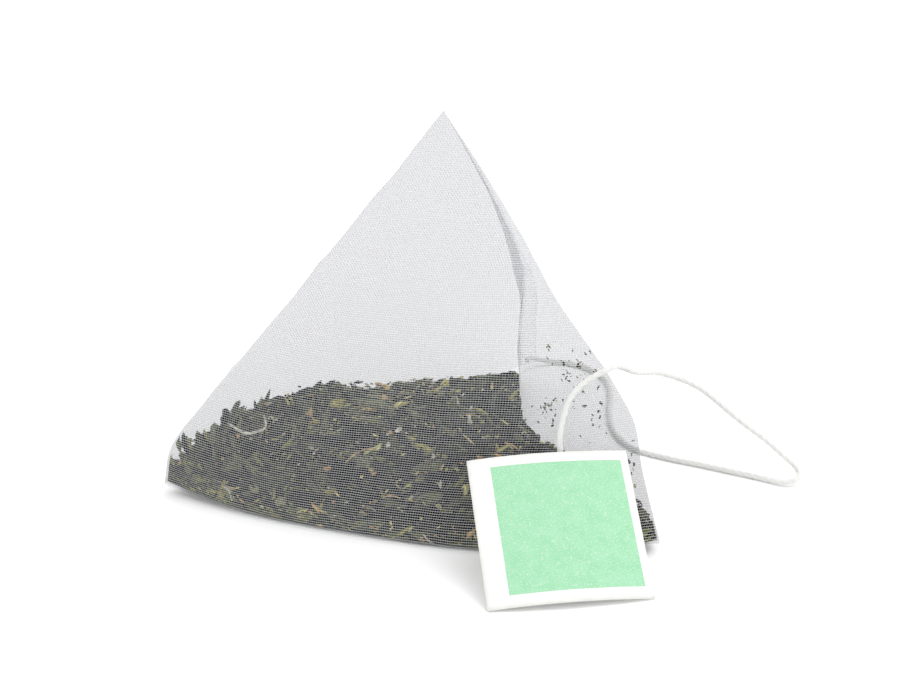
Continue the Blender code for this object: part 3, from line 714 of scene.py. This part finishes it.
def cloth_material():
    n = Nodes("nylon_mesh")
    place = n.add("ShaderNodeUVMap").outputs["UV"]
    slow = n.add("ShaderNodeVectorMath", {0: place, "Scale": 0.035}, operation="SCALE").outputs[0]
    drift = n.noise(slow, 1.0, 2.0, "Color")
    shift = n.add("ShaderNodeVectorMath", {0: drift, 1: (0.5, 0.5, 0.5)}, operation="SUBTRACT").outputs[0]
    shift = n.add("ShaderNodeVectorMath", {0: shift, "Scale": WEAVE_DRIFT}, operation="SCALE").outputs[0]
    moved = n.add("ShaderNodeVectorMath", {0: place, 1: shift}, operation="ADD").outputs[0]
    across, up, _ = n.add("ShaderNodeSeparateXYZ", {0: moved}).outputs
    warp = n.math("ABSOLUTE", n.math("SUBTRACT", n.math("FRACT", across), 0.5))
    weft = n.math("ABSOLUTE", n.math("SUBTRACT", n.math("FRACT", up), 0.5))
    on_warp = n.spread(warp, WARP_SHARE / 2 + SOFT_EDGE, WARP_SHARE / 2 - SOFT_EDGE)
    on_weft = n.spread(weft, WEFT_SHARE / 2 + SOFT_EDGE, WEFT_SHARE / 2 - SOFT_EDGE)
    cover = n.math("MAXIMUM", n.math("MULTIPLY", on_warp, WARP_SOLID), on_weft)
    weld = n.add("ShaderNodeAttribute", attribute_name="weld").outputs["Fac"]
    clear_and_lit = n.add("ShaderNodeAttribute", attribute_name="clear_and_lit").outputs["Fac"]
    from_middle = n.math("DIVIDE", n.math("MINIMUM", warp, weft), WEFT_SHARE / 2, clamp=True)
    crown_and_highlight = n.math("SUBTRACT", 1.0, from_middle)
    parity = n.math("SINE", n.math("MULTIPLY", across, math.pi))
    parity = n.math("MULTIPLY", parity, n.math("SINE", n.math("MULTIPLY", up, math.pi)))
    height = n.math("ADD", n.math("MULTIPLY", crown_and_highlight, 0.7), n.math("MULTIPLY", parity, 0.3))
    # Lighter along the middle of each thread and darker at its edges: a painted highlight on the thread's
    # round crown and painted shade at its sides.
    tint_with_painted_light = n.mix(crown_and_highlight, colour(224, 225, 227), colour(240, 241, 242))
    # The fused seal band is paler nylon. On the fins and the base, the paler tint is painted light over
    # their shade.
    tint_with_painted_light = n.mix(n.math("MAXIMUM", weld, clear_and_lit), tint_with_painted_light, colour(242, 243, 244))
    nylon = n.principled(Base_Color=tint_with_painted_light, Roughness=0.38, Specular_IOR_Level=0.4,
                         Normal=n.bump(height, 0.35, 0.00004))
    shade = n.mix(clear_and_lit, (GAP_SHADE, GAP_SHADE, GAP_SHADE * 1.01, 1.0), (0.99, 0.99, 0.99, 1.0))
    gap = n.add("ShaderNodeBsdfTransparent", {"Color": shade})
    kept = n.math("SUBTRACT", 1.0, n.math("MULTIPLY", clear_and_lit, FUSED_FADE))
    solid = n.math("MAXIMUM", n.math("MULTIPLY", cover, kept), n.math("MULTIPLY", weld, WELD_SOLID))
    output = n.tree.nodes["Material Output"]
    mixed = n.add("ShaderNodeMixShader", {0: solid, 1: gap.outputs[0], 2: n.shader.outputs[0]})
    n.tree.links.new(mixed.outputs[0], output.inputs["Surface"])
    return nylon


cloth, bag_walls = make_cloth(cloth_material())

# ---- Leaf tea ----

WALL_GAP = 0.16
FINE_GAP = 0.1


def keep_inside(points, gap=WALL_GAP):
    """Pushes points that are outside the bag, or nearer than the gap to its mesh, back inside."""
    kept = points.copy()
    for k in range(len(points)):
        place = Vector(points[k])
        for _ in range(3):
            moved = False
            for tree in bag_walls.values():
                near, normal, _, distance = tree.find_nearest(place)
                depth = (place - near).dot(normal)
                if depth > -gap and (depth > 0 or distance < gap):
                    place = place - normal * (depth + gap)
                    moved = True
            if not moved:
                break
        kept[k] = place
    return kept


def mesh_point(x, y, inset, layer=0):
    """A point behind the bag's mesh where a pixel of the photograph meets it; layer 1 is the next wall."""
    place = Vector(CAMERA_PLACE)
    ray = Vector(pixel_ray(x, y))
    hits = []
    for tree in bag_walls.values():
        hit, normal, _, distance = tree.ray_cast(place, ray)
        if hit is not None:
            hits.append((distance, hit, normal))
    hits.sort(key=lambda row: row[0])
    if len(hits) <= layer:
        return None
    _, hit, normal = hits[layer]
    return np.array(hit - normal * inset), np.array(normal)


# The tea's top line in the photograph, in pixels. Leaves end at most TOP_DEEPEST below it, in a ragged
# band that is TOP_RAGGED high.
TOP_LINE = ((150, 470), (165, 462), (183, 434), (205, 416), (230, 402), (260, 393), (300, 389), (340, 386),
            (400, 384), (450, 385), (500, 380), (521, 374), (524, 422), (533, 438), (550, 449), (645, 500),
            (662, 512))
TOP_DEEPEST = 6.0
TOP_RAGGED = 15.0
RAGGED_POWER = 5


def below_top(points, per_leaf):
    """Lowers what would stand above the tea's ragged top line in the photograph."""
    away = points - CAMERA_PLACE
    deep = -(away @ TO_CAMERA)
    x = FRAME_WIDTH / 2 + FOCAL_PIXELS * (away @ CAMERA_RIGHT) / deep
    y = FRAME_HEIGHT / 2 - FOCAL_PIXELS * (away @ CAMERA_UP) / deep
    draw = rng.uniform(0, 1, len(points) // per_leaf)
    ragged = np.repeat(TOP_DEEPEST - TOP_RAGGED * draw ** RAGGED_POWER, per_leaf)
    line = np.interp(x, [row[0] for row in TOP_LINE], [row[1] for row in TOP_LINE]) + ragged
    above = np.maximum(0.0, line - y) * deep / FOCAL_PIXELS / CAMERA_UP[2]
    most = above.reshape(-1, per_leaf).max(axis=1)
    lowered = points.copy()
    lowered[:, 2] -= np.repeat(most, per_leaf)
    return lowered


def leaf_shapes(centres, directions, normals, lengths, widths, thicknesses, rings, sides, curl):
    """Twisted strips with tapered ends, one for each row of the arrays."""
    count = len(centres)
    x_axis = unit(directions - normals * np.sum(directions * normals, axis=1, keepdims=True))
    y_axis = np.cross(normals, x_axis)
    twist = rng.normal(0.0, 2.2, count)
    phase = rng.uniform(0, 2 * math.pi, count)
    bends = rng.normal(0.0, curl, (count, 4))
    fat = rng.uniform(1.6, 4.0, count)
    waves = rng.uniform(8, 20, count)
    blocks = []
    uvs = []
    for ring in range(rings + 2):
        s = -0.5 + ring / (rings + 1)
        spine_y = lengths * (bends[:, 0] * (s * s - 0.08) + bends[:, 1] * s ** 3 * 2)
        spine_z = lengths * (bends[:, 2] * (s * s - 0.08) + bends[:, 3] * s ** 3 * 2) * 0.5
        centre = centres + x_axis * (lengths * s)[:, None] + y_axis * spine_y[:, None]
        centre = centre + normals * spine_z[:, None]
        if ring in (0, rings + 1):
            blocks.append(centre[:, None, :])
            uvs.append(np.stack([lengths * s, phase], axis=1)[:, None, :])
            continue
        full = (1 - np.abs(2 * s) ** fat) ** 0.75 * (1 + 0.22 * np.sin(waves * s + phase * 3))
        turn = phase + twist * s
        ring_points = []
        for side in range(sides):
            angle = 2 * math.pi * side / sides
            wide = widths / 2 * full * math.cos(angle)
            deep = thicknesses / 2 * full * math.sin(angle)
            y = wide * np.cos(turn) - deep * np.sin(turn)
            z = wide * np.sin(turn) + deep * np.cos(turn)
            ring_points.append(centre + y_axis * y[:, None] + normals * z[:, None])
        blocks.append(np.stack(ring_points, axis=1))
        spot = np.stack([lengths * s, phase], axis=1)[:, None, :]
        uvs.append(spot + np.array([(0.0, side / sides) for side in range(sides)])[None, :, :])
    points = np.concatenate(blocks, axis=1)
    uv = np.concatenate(uvs, axis=1)
    faces = []
    last = 1 + (rings - 1) * sides
    end = last + sides
    for side in range(sides):
        nxt = (side + 1) % sides
        faces.append((0, 1 + nxt, 1 + side))
        faces.append((end, last + side, last + nxt))
        for ring in range(rings - 1):
            low, high = 1 + ring * sides, 1 + (ring + 1) * sides
            faces.append((low + side, low + nxt, high + nxt))
            faces.append((low + side, high + nxt, high + side))
    per_leaf = points.shape[1]
    offsets = np.arange(count)[:, None, None] * per_leaf
    all_faces = (np.array(faces)[None, :, :] + offsets).reshape(-1, 3)
    return points.reshape(-1, 3), all_faces, uv.reshape(-1, 2), per_leaf


DARK = np.array(((0.014, 0.019, 0.010), (0.056, 0.070, 0.032), (0.004, 0.005, 0.004),
                 (0.165, 0.180, 0.085)))
OLIVE = np.array(((0.26, 0.28, 0.07), (0.15, 0.17, 0.055), (0.44, 0.40, 0.10)))
STRAW = np.array(((0.96, 0.82, 0.30), (0.88, 0.82, 0.26), (0.78, 0.48, 0.18), (0.98, 0.94, 0.66)))


def leaf_tones(count, dark, olive):
    """A colour for each leaf: these shares of them dark and olive, and the rest straw."""
    draw = rng.uniform(0, 1, count)
    tones = DARK[rng.integers(0, len(DARK), count)].copy()
    mid = (draw > dark) & (draw <= dark + olive)
    tones[mid] = OLIVE[rng.integers(0, len(OLIVE), mid.sum())]
    pale = draw > dark + olive
    tones[pale] = STRAW[rng.integers(0, len(STRAW), pale.sum())]
    return np.minimum(1.0, tones * rng.uniform(0.8, 1.3, (count, 1)))


def leaf_piece(name, shapes, shades, finish, gap=WALL_GAP, under_top=True):
    """One piece of many leaves, which are kept inside the bag; shades is their dark and olive share."""
    points, faces, uv, per_leaf = shapes
    if under_top:
        points = below_top(points, per_leaf)
    points = keep_inside(points, gap)
    tones = np.repeat(leaf_tones(len(points) // per_leaf, *shades), per_leaf, axis=0)
    return mesh_object(name, points, faces, finish, uv[faces.ravel()], tones)


def leaf_material():
    n = Nodes("dry_leaf")
    place = n.add("ShaderNodeUVMap").outputs["UV"]
    tone = n.add("ShaderNodeAttribute", attribute_name="tone").outputs["Color"]
    long_way = n.add("ShaderNodeMapping", {"Vector": place, "Scale": (0.7, 7.0, 1.0)}).outputs[0]
    streak = n.noise(long_way, 1.6, 4.0)
    broad = n.add("ShaderNodeMapping", {"Vector": place, "Scale": (0.8, 1.2, 1.0)}).outputs[0]
    patch = n.noise(broad, 1.1, 3.0)
    # Dark streaks along the leaves are painted shade in their creases.
    body = n.mix(n.math("MULTIPLY", n.spread(streak, 0.35, 0.62), 0.7), tone, (0.008, 0.010, 0.011, 1.0))
    # Light streaks are a painted highlight along the leaves.
    body = n.mix(n.math("MULTIPLY", n.spread(streak, 0.36, 0.28), 0.35), body, (0.22, 0.23, 0.13, 1.0))
    body = n.mix(n.math("MULTIPLY", n.spread(patch, 0.64, 0.76), 0.5), body, (0.24, 0.22, 0.07, 1.0))
    rough = n.spread(streak, 0.2, 0.8, 0.42, 0.7)
    return n.principled(Base_Color=body, Roughness=rough, Specular_IOR_Level=0.14,
                        Normal=n.bump(streak, 0.7, 0.00012))


def heap_triangles():
    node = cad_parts["tea_heap"]
    mesh = node.data
    mesh.calc_loop_triangles()
    points = np.array([tuple(node.matrix_world @ vert.co) for vert in mesh.vertices]) / MM
    triangles = np.array([tuple(triangle.vertices) for triangle in mesh.loop_triangles])
    return points, triangles


UNDERSIDE = -0.6
UNDERSIDE_WEIGHT = 0.35


def on_heap(count):
    """Random places on the heap's surface, fewer on its underside, with the normals there."""
    points, triangles = heap_triangles()
    a, b, c = (points[triangles[:, k]] for k in range(3))
    cross = np.cross(b - a, c - a)
    area = np.linalg.norm(cross, axis=1) / 2
    normals = unit(cross)
    weight = np.where(normals[:, 2] > UNDERSIDE, area, area * UNDERSIDE_WEIGHT)
    pick = rng.choice(len(triangles), count, p=weight / weight.sum())
    s = np.sqrt(rng.uniform(0, 1, count))
    t = rng.uniform(0, 1, count)
    place = a[pick] * (1 - s)[:, None] + b[pick] * (s * (1 - t))[:, None]
    place = place + c[pick] * (s * t)[:, None]
    return place, normals[pick]


# The leaves strewn over the heap: sizes in millimetres, depths under its surface, and the shares of
# dark and olive ones
PILES = {
    "tea_leaves": {"count": 1500, "lengths": (4.5, 12.5), "widths": (0.8, 1.8), "depths": (-0.35, 1.3),
                   "rings": 8, "sides": 6, "curl": 0.3, "shades": (0.96, 0.04)},
    "tea_curls": {"count": 1500, "lengths": (1.8, 5.5), "widths": (0.4, 0.9), "depths": (-0.6, 0.5),
                  "rings": 5, "sides": 5, "curl": 0.5, "shades": (0.74, 0.17)},
    "tea_bits": {"count": 3000, "lengths": (0.4, 1.5), "widths": (0.16, 0.42), "depths": (-0.9, 0.0),
                 "rings": 2, "sides": 4, "curl": 0.3, "shades": (0.34, 0.28)},
}


def pile(name, finish, count, lengths, widths, depths, rings, sides, curl, shades):
    """Leaves strewn over the heap and pressed against the mesh from inside."""
    place, normal = on_heap(count)
    depth = rng.uniform(*depths, count)
    centres = place - normal * depth[:, None]
    tilt = rng.normal(0.0, 0.2, (count, 3))
    normals = unit(normal + tilt)
    upward = np.tile((0.0, 0.0, 1.0), (count, 1))
    level = unit(np.cross(normals, upward) + rng.normal(0.0, 1e-3, (count, 3)))
    rise = np.cross(normals, level)
    angle = rng.normal(0.0, 0.55, count)
    directions = level * np.cos(angle)[:, None] + rise * np.sin(angle)[:, None]
    long = rng.uniform(*lengths, count) * rng.uniform(0.6, 1.0, count)
    wide = rng.uniform(*widths, count)
    thick = wide * rng.uniform(0.35, 0.7, count)
    shapes = leaf_shapes(centres, directions, normals, long, wide, thick, rings, sides, curl)
    return leaf_piece(name, shapes, shades, finish)


RIM_TRIES = 14
RIM_STEEP = 0.75
RIM_LOWEST = 1.8
RIM_REACH = 2.0
RIM_BAND = 1.2
LEAF_FLATNESS = 0.55


def rim_leaves(name, count, finish):
    """Leaves that stick up at the ragged edge where the tea meets the mesh."""
    place, normal = on_heap(count * RIM_TRIES)
    side = (np.abs(normal[:, 2]) < RIM_STEEP) & (place[:, 2] > RIM_LOWEST)
    place, normal = place[side], normal[side]
    height = place[:, 2]
    near_top = []
    for k in range(len(place)):
        close = np.hypot(place[:, 0] - place[k, 0], place[:, 1] - place[k, 1]) < RIM_REACH
        near_top.append(height[k] > height[close].max() - RIM_BAND)
    place, normal = place[near_top][:count], normal[near_top][:count]
    found = len(place)
    outward = unit(normal * (1.0, 1.0, 0.15))
    lean = rng.normal(0.0, 0.6, found)
    level = unit(np.cross(outward, (0.0, 0.0, 1.0)))
    rise = np.cross(level, outward)
    directions = rise * np.cos(lean)[:, None] + level * np.sin(lean)[:, None]
    on_left = np.clip((-6.0 - place[:, 0]) / 8.0, 0.0, 1.0)
    lengths = rng.uniform(1.6, 2.8, found) + on_left * rng.uniform(0.6, 2.6, found)
    widths = rng.uniform(0.45, 1.15, found)
    centres = place + rise * (lengths * (0.3 * on_left - 0.2))[:, None]
    shapes = leaf_shapes(centres, directions, outward, lengths, widths, widths * LEAF_FLATNESS,
                         6, 5, 0.25)
    return leaf_piece(name, shapes, (0.86, 0.12), finish)


# Pieces that the photograph shows singly: pixel, length and width in pixels, angle on the picture, tone
FLAKES = (
    (387, 387, 6, 5, 20, 0), (384, 398, 6, 5, 150, 5), (398, 430, 7, 5, 30, 4), (387, 445, 6, 4, 60, 4),
    (313, 454, 3, 2, 45, 4), (324, 461, 6, 2, -40, 4), (327, 469, 9, 5, 20, 1), (253, 489, 13, 9, -50, 2),
    (279, 502, 12, 11, 15, 2), (319, 526, 8, 5, -25, 5), (370, 470, 6, 3, -40, 0), (361, 477, 4, 3, 30, 0),
    (336, 494, 8, 2, -45, 0), (357, 511, 8, 2, -40, 0), (433, 456, 4, 3, 90, 4), (444, 457, 5, 6, 80, 3),
    (442, 467, 6, 2, 60, 0), (440, 485, 8, 3, 88, 4), (454, 530, 9, 6, 80, 1), (421, 540, 6, 5, -50, 5),
    (417, 473, 5, 3, 40, 0), (492, 386, 7, 2, 88, 0), (205, 436, 14, 4, -60, 3), (189, 445, 16, 4, -65, 3),
    (179, 463, 10, 3, 30, 1), (240, 500, 16, 3, -45, 5), (462, 510, 7, 3, 20, 3), (410, 500, 6, 3, -20, 0),
)
# Its thin stems: pixels along each, radius in millimetres, tone
STEMS = (
    (((226, 423), (236, 430), (245, 434), (256, 432), (263, 429), (264, 422), (262, 415)), 0.17, 4),
    (((285, 515), (294, 517), (304, 518)), 0.16, 0),
    (((226, 487), (232, 489), (238, 488)), 0.12, 0),
    (((349, 425), (356, 420), (366, 420), (378, 423)), 0.1, 3),
    (((382, 498), (390, 496), (400, 499)), 0.1, 5),
    (((463, 435), (468, 439), (474, 445)), 0.09, 0),
    (((505, 443), (512, 446), (520, 451)), 0.12, 5),
    (((344, 463), (358, 452), (372, 448)), 0.1, 5),
    (((312, 505), (322, 512), (330, 514)), 0.1, 0),
)
PIECE_TONES = np.array(((0.84, 0.70, 0.26), (0.58, 0.36, 0.13), (0.34, 0.34, 0.17), (0.30, 0.31, 0.09),
                        (0.92, 0.90, 0.76), (0.74, 0.52, 0.26)))
PIXELS_PER_MM = 8.3
FLAKE_SIDES = 11
FLAKE_INSET = 0.24
STEM_SIDES = 6
STEM_INSET = 0.2
STEM_RING_STEP = 0.25


def on_picture(turn):
    """The direction that lies at this angle on the picture."""
    return CAMERA_RIGHT * math.cos(turn) + CAMERA_UP * math.sin(turn)


def shown_flakes(name, finish):
    """Chips and broad leaves that lie flat against the front mesh."""
    spots = []
    for x, y, long, wide, angle, tone in FLAKES:
        found = mesh_point(x, y, FLAKE_INSET)
        if found is not None:
            size = (long / PIXELS_PER_MM, wide / PIXELS_PER_MM)
            spots.append((*found, on_picture(math.radians(angle)), *size, PIECE_TONES[tone]))
    return flat_pieces(name, spots, finish)


def flat_pieces(name, spots, finish):
    """Thin flat pieces with a ragged outline."""
    points, faces, point_tones = [], [], []
    for centre, normal, direction, length, width, tone in spots:
        x_axis = unit(direction - normal * (direction @ normal))
        y_axis = np.cross(normal, x_axis)
        first = len(points)
        sides = FLAKE_SIDES
        rough = rng.uniform(0.72, 1.12, sides)
        for level in (-1, 1):
            for k in range(sides):
                angle = 2 * math.pi * k / sides
                place = x_axis * math.cos(angle) * length + y_axis * math.sin(angle) * width
                wave = 0.05 * level + 0.04 * math.sin(2 * angle)
                points.append(centre + place / 2 * rough[k] + normal * wave)
        points += [centre - normal * 0.08, centre + normal * 0.08]
        low, high = len(points) - 2, len(points) - 1
        for k in range(sides):
            nxt = (k + 1) % sides
            faces.append((low, first + nxt, first + k))
            faces.append((high, first + sides + k, first + sides + nxt))
            faces.append((first + k, first + nxt, first + sides + nxt))
            faces.append((first + k, first + sides + nxt, first + sides + k))
        point_tones += [tone] * (2 * sides + 2)
    points = keep_inside(np.array(points), FINE_GAP)
    faces = np.array(faces)
    uv = points[:, (0, 2)][faces.ravel()]
    return mesh_object(name, points, faces, finish, uv, np.array(point_tones))


def shown_stems(name, finish):
    """Thin pale stems that lie against the front mesh."""
    points, faces, tones = [], [], []
    sides = STEM_SIDES
    for pixels, radius, tone in STEMS:
        path = [mesh_point(x, y, STEM_INSET + radius) for x, y in pixels]
        if any(place is None for place in path):
            continue
        line = smooth_route([place[0] for place in path], STEM_RING_STEP)
        across, over = carried_frames(line)
        first = len(points)
        for k, centre in enumerate(line):
            t = k / (len(line) - 1)
            thick = radius * (0.35 + 0.65 * math.sin(math.pi * min(1.0, 0.12 + t * 0.8)))
            for side in range(sides):
                angle = 2 * math.pi * side / sides
                points.append(centre + thick * (math.cos(angle) * across[k] + math.sin(angle) * over[k]))
        for k in range(len(line) - 1):
            for side in range(sides):
                nxt = (side + 1) % sides
                low, high = first + k * sides, first + (k + 1) * sides
                faces.append((low + side, low + nxt, high + nxt))
                faces.append((low + side, high + nxt, high + side))
        ends = first, first + (len(line) - 1) * sides
        for side in range(1, sides - 1):
            faces.append((ends[0], ends[0] + side + 1, ends[0] + side))
            faces.append((ends[1], ends[1] + side, ends[1] + side + 1))
        tones += [PIECE_TONES[tone]] * (len(line) * sides)
    faces = np.array(faces)
    points = np.array(points)
    uv = points[:, (0, 2)][faces.ravel()]
    return mesh_object(name, points, faces, finish, uv, np.array(tones))


# The tea's lower edge in the photograph, in pixels, and how far above it leaves are put
EDGE_LINE = ((165, 474), (170, 482), (180, 488), (210, 502), (240, 511), (270, 518), (300, 524), (330, 529),
             (375, 535), (405, 541), (450, 546), (480, 548), (560, 552), (620, 548), (655, 538))
EDGE_BAND = 13.0


def edge_leaves(name, count, finish):
    """Leaves that fill the narrow space between the heap, the front mesh and the seal on the floor."""
    xs = np.array([row[0] for row in EDGE_LINE], float)
    ys = np.array([row[1] for row in EDGE_LINE], float)
    spots = []
    for _ in range(count):
        x = xs[0] + (xs[-1] - xs[0]) * rng.uniform(0, 1) ** 1.25
        y = np.interp(x, xs, ys)
        slope = math.atan2(np.interp(x + 4, xs, ys) - np.interp(x - 4, xs, ys), 8)
        above = EDGE_BAND * rng.uniform(0, 1) ** 1.4
        found = mesh_point(x, y - above, rng.uniform(0.25, 0.9))
        turn = -slope + rng.normal(0.0, 0.5)
        if found is not None:
            spots.append((*found, on_picture(turn)))
    centres, normals, directions = map(np.array, zip(*spots))
    lengths = rng.uniform(1.4, 5.0, len(centres))
    widths = rng.uniform(0.4, 1.05, len(centres))
    shapes = leaf_shapes(centres, directions, normals, lengths, widths, widths * LEAF_FLATNESS, 6, 5, 0.3)
    return leaf_piece(name, shapes, (0.66, 0.27), finish, under_top=False)


# Leaves that climb into the left corner: pixel of the middle, length in pixels, angle on the picture
CORNER_LEAVES = (
    (176, 442, 22, 105), (184, 446, 26, 120), (196, 450, 24, 100), (171, 464, 14, 150), (178, 468, 22, 160),
    (185, 462, 26, 135), (192, 470, 28, 150), (176, 478, 18, 165), (186, 482, 22, 160), (206, 446, 26, 95),
    (200, 462, 30, 120), (212, 434, 22, 80), (190, 455, 24, 60), (218, 440, 26, 110), (208, 470, 30, 140),
    (222, 420, 24, 70), (232, 412, 26, 50), (172, 472, 16, 20), (182, 474, 20, 30), (198, 440, 18, 115),
)
CORNER_LAYERS = 3


def corner_leaves(name, finish):
    """Leaves in a few layers that climb into the left corner."""
    spots = []
    for layer in range(CORNER_LAYERS):
        for x, y, long, angle in CORNER_LEAVES:
            x = x + layer * rng.uniform(-4, 4)
            y = y + layer * rng.uniform(-1, 5)
            found = mesh_point(x, y, 0.35 + 0.8 * layer)
            if found is not None:
                direction = on_picture(math.radians(angle) + rng.normal(0.0, 0.15))
                spots.append((*found, direction, long / PIXELS_PER_MM))
    centres, normals, directions, lengths = map(np.array, zip(*spots))
    widths = rng.uniform(0.7, 1.3, len(centres))
    shapes = leaf_shapes(centres, directions, normals, lengths, widths, widths * LEAF_FLATNESS, 7, 6, 0.25)
    return leaf_piece(name, shapes, (0.85, 0.15), finish, under_top=False)


# Clusters of crumbs: pixel of the middle, spread across and up in pixels, number
CRUMB_CLUSTERS = ((572, 370, 13, 12, 36), (548, 410, 7, 10, 26), (586, 392, 12, 12, 12),
                  (598, 424, 18, 16, 14), (636, 462, 4, 20, 10))
LOWEST_CRUMB = 0.5


def specks(name, finish):
    """Fine crumbs that cling to the mesh above the tea, most of them on the right."""
    places, spots = [], []
    for x, y, wide, high, count in CRUMB_CLUSTERS:
        places += [(x + wide * rng.normal(), y + high * rng.normal()) for _ in range(count)]
    for x, y in places:
        found = mesh_point(x, y, 0.3, int(rng.integers(0, 2)))
        if found is not None and found[0][2] >= LOWEST_CRUMB:
            spots.append((*found, unit(rng.normal(0, 1, 3)), rng.uniform(0.25, 0.7)))
    centres, normals, directions, lengths = map(np.array, zip(*spots))
    widths = lengths * rng.uniform(0.3, 0.6, len(centres))
    shapes = leaf_shapes(centres, directions, normals, lengths, widths, widths * 0.6, 3, 5, 0.3)
    return leaf_piece(name, shapes, (0.8, 0.12), finish, FINE_GAP, under_top=False)


CORE_SHRINK = (0.94, 0.94, 0.76)
# Near-black: dark tea, made darker still as painted shade for the deep gaps between the leaves where the
# core shows.
CORE_TONE_AND_SHADE = (0.012, 0.014, 0.012)


def tea_core(finish):
    """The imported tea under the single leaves: the heap, drawn in, with a ragged top."""
    points, triangles = heap_triangles()
    centre = points.mean(axis=0)
    inner = below_top(centre + (points - centre) * CORE_SHRINK, 1)
    tones = np.tile(CORE_TONE_AND_SHADE, (len(points), 1))
    uv = (points[:, :2])[triangles.ravel()]
    return mesh_object("tea_core", inner, triangles, finish, uv, tones)


leaf_finish = leaf_material()
core = tea_core(leaf_finish)
leaves, curls, bits = [pile(name, leaf_finish, **settings) for name, settings in PILES.items()]
rim = rim_leaves("tea_rim_leaves", 300, leaf_finish)
edge = edge_leaves("tea_edge_leaves", 620, leaf_finish)
corner = corner_leaves("tea_corner_leaves", leaf_finish)
chips = shown_flakes("tea_chips", leaf_finish)
stems = shown_stems("tea_stems", leaf_finish)
crumbs = specks("tea_crumbs", leaf_finish)
tea = [core, leaves, curls, bits, rim, edge, corner, chips, stems, crumbs]

# ---- What each piece rides on, and the imported parts that it replaces ----

tea_nodes = [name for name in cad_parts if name.startswith("tea_")]
for piece, slot in ((cloth, "nylon_mesh"), (thread, "cotton"), (fuzz, "cotton"), (paper_tag, "tag_paper")):
    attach(piece, "root")
for piece in tea:
    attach(piece, "root")
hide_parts("mesh_bag")
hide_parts("thread")
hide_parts("tag")
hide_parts(*tea_nodes)

# ---- Floor and light ----

FLOOR_SIZE = 6000.0
FLOOR_DROP = 0.02


def floor_material():
    n = Nodes("floor")
    place = n.add("ShaderNodeTexCoord").outputs["Object"]
    body = n.mix(n.noise(place, 40.0, 2.0), colour(250, 250, 250), colour(252, 252, 252))
    return n.principled(Base_Color=body, Roughness=0.9, Specular_IOR_Level=0.1)


def make_floor():
    half = FLOOR_SIZE / 2
    points = [(-half, -half, -FLOOR_DROP), (half, -half, -FLOOR_DROP), (half, half, -FLOOR_DROP),
              (-half, half, -FLOOR_DROP)]
    floor = mesh_object("floor", points, [(0, 1, 2, 3)], floor_material())


def area_light(name, place, target, size, power):
    data = bpy.data.lights.new(name, "AREA")
    data.shape = "DISK"
    data.size = size * MM
    data.energy = power
    light = bpy.data.objects.new(name, data)
    light.location = Vector(place) * MM
    aim = Vector(target) - Vector(place)
    light.rotation_euler = aim.to_track_quat("-Z", "Y").to_euler()
    bpy.context.scene.collection.objects.link(light)


def make_world(strength):
    world = bpy.data.worlds.new("studio")
    world.use_nodes = True
    background = world.node_tree.nodes["Background"]
    background.inputs["Color"].default_value = (1.0, 1.0, 1.0, 1.0)
    background.inputs["Strength"].default_value = strength
    bpy.context.scene.world = world


WORLD_STRENGTH = 1.15
KEY_PLACE = (170, 130, 420)
KEY_TARGET = (0, 0, 8)
KEY_SIZE = 300
KEY_POWER = 0.7

make_floor()
make_world(WORLD_STRENGTH)
area_light("key_light", KEY_PLACE, KEY_TARGET, KEY_SIZE, KEY_POWER)
bpy.context.scene.view_settings.view_transform = "Standard"
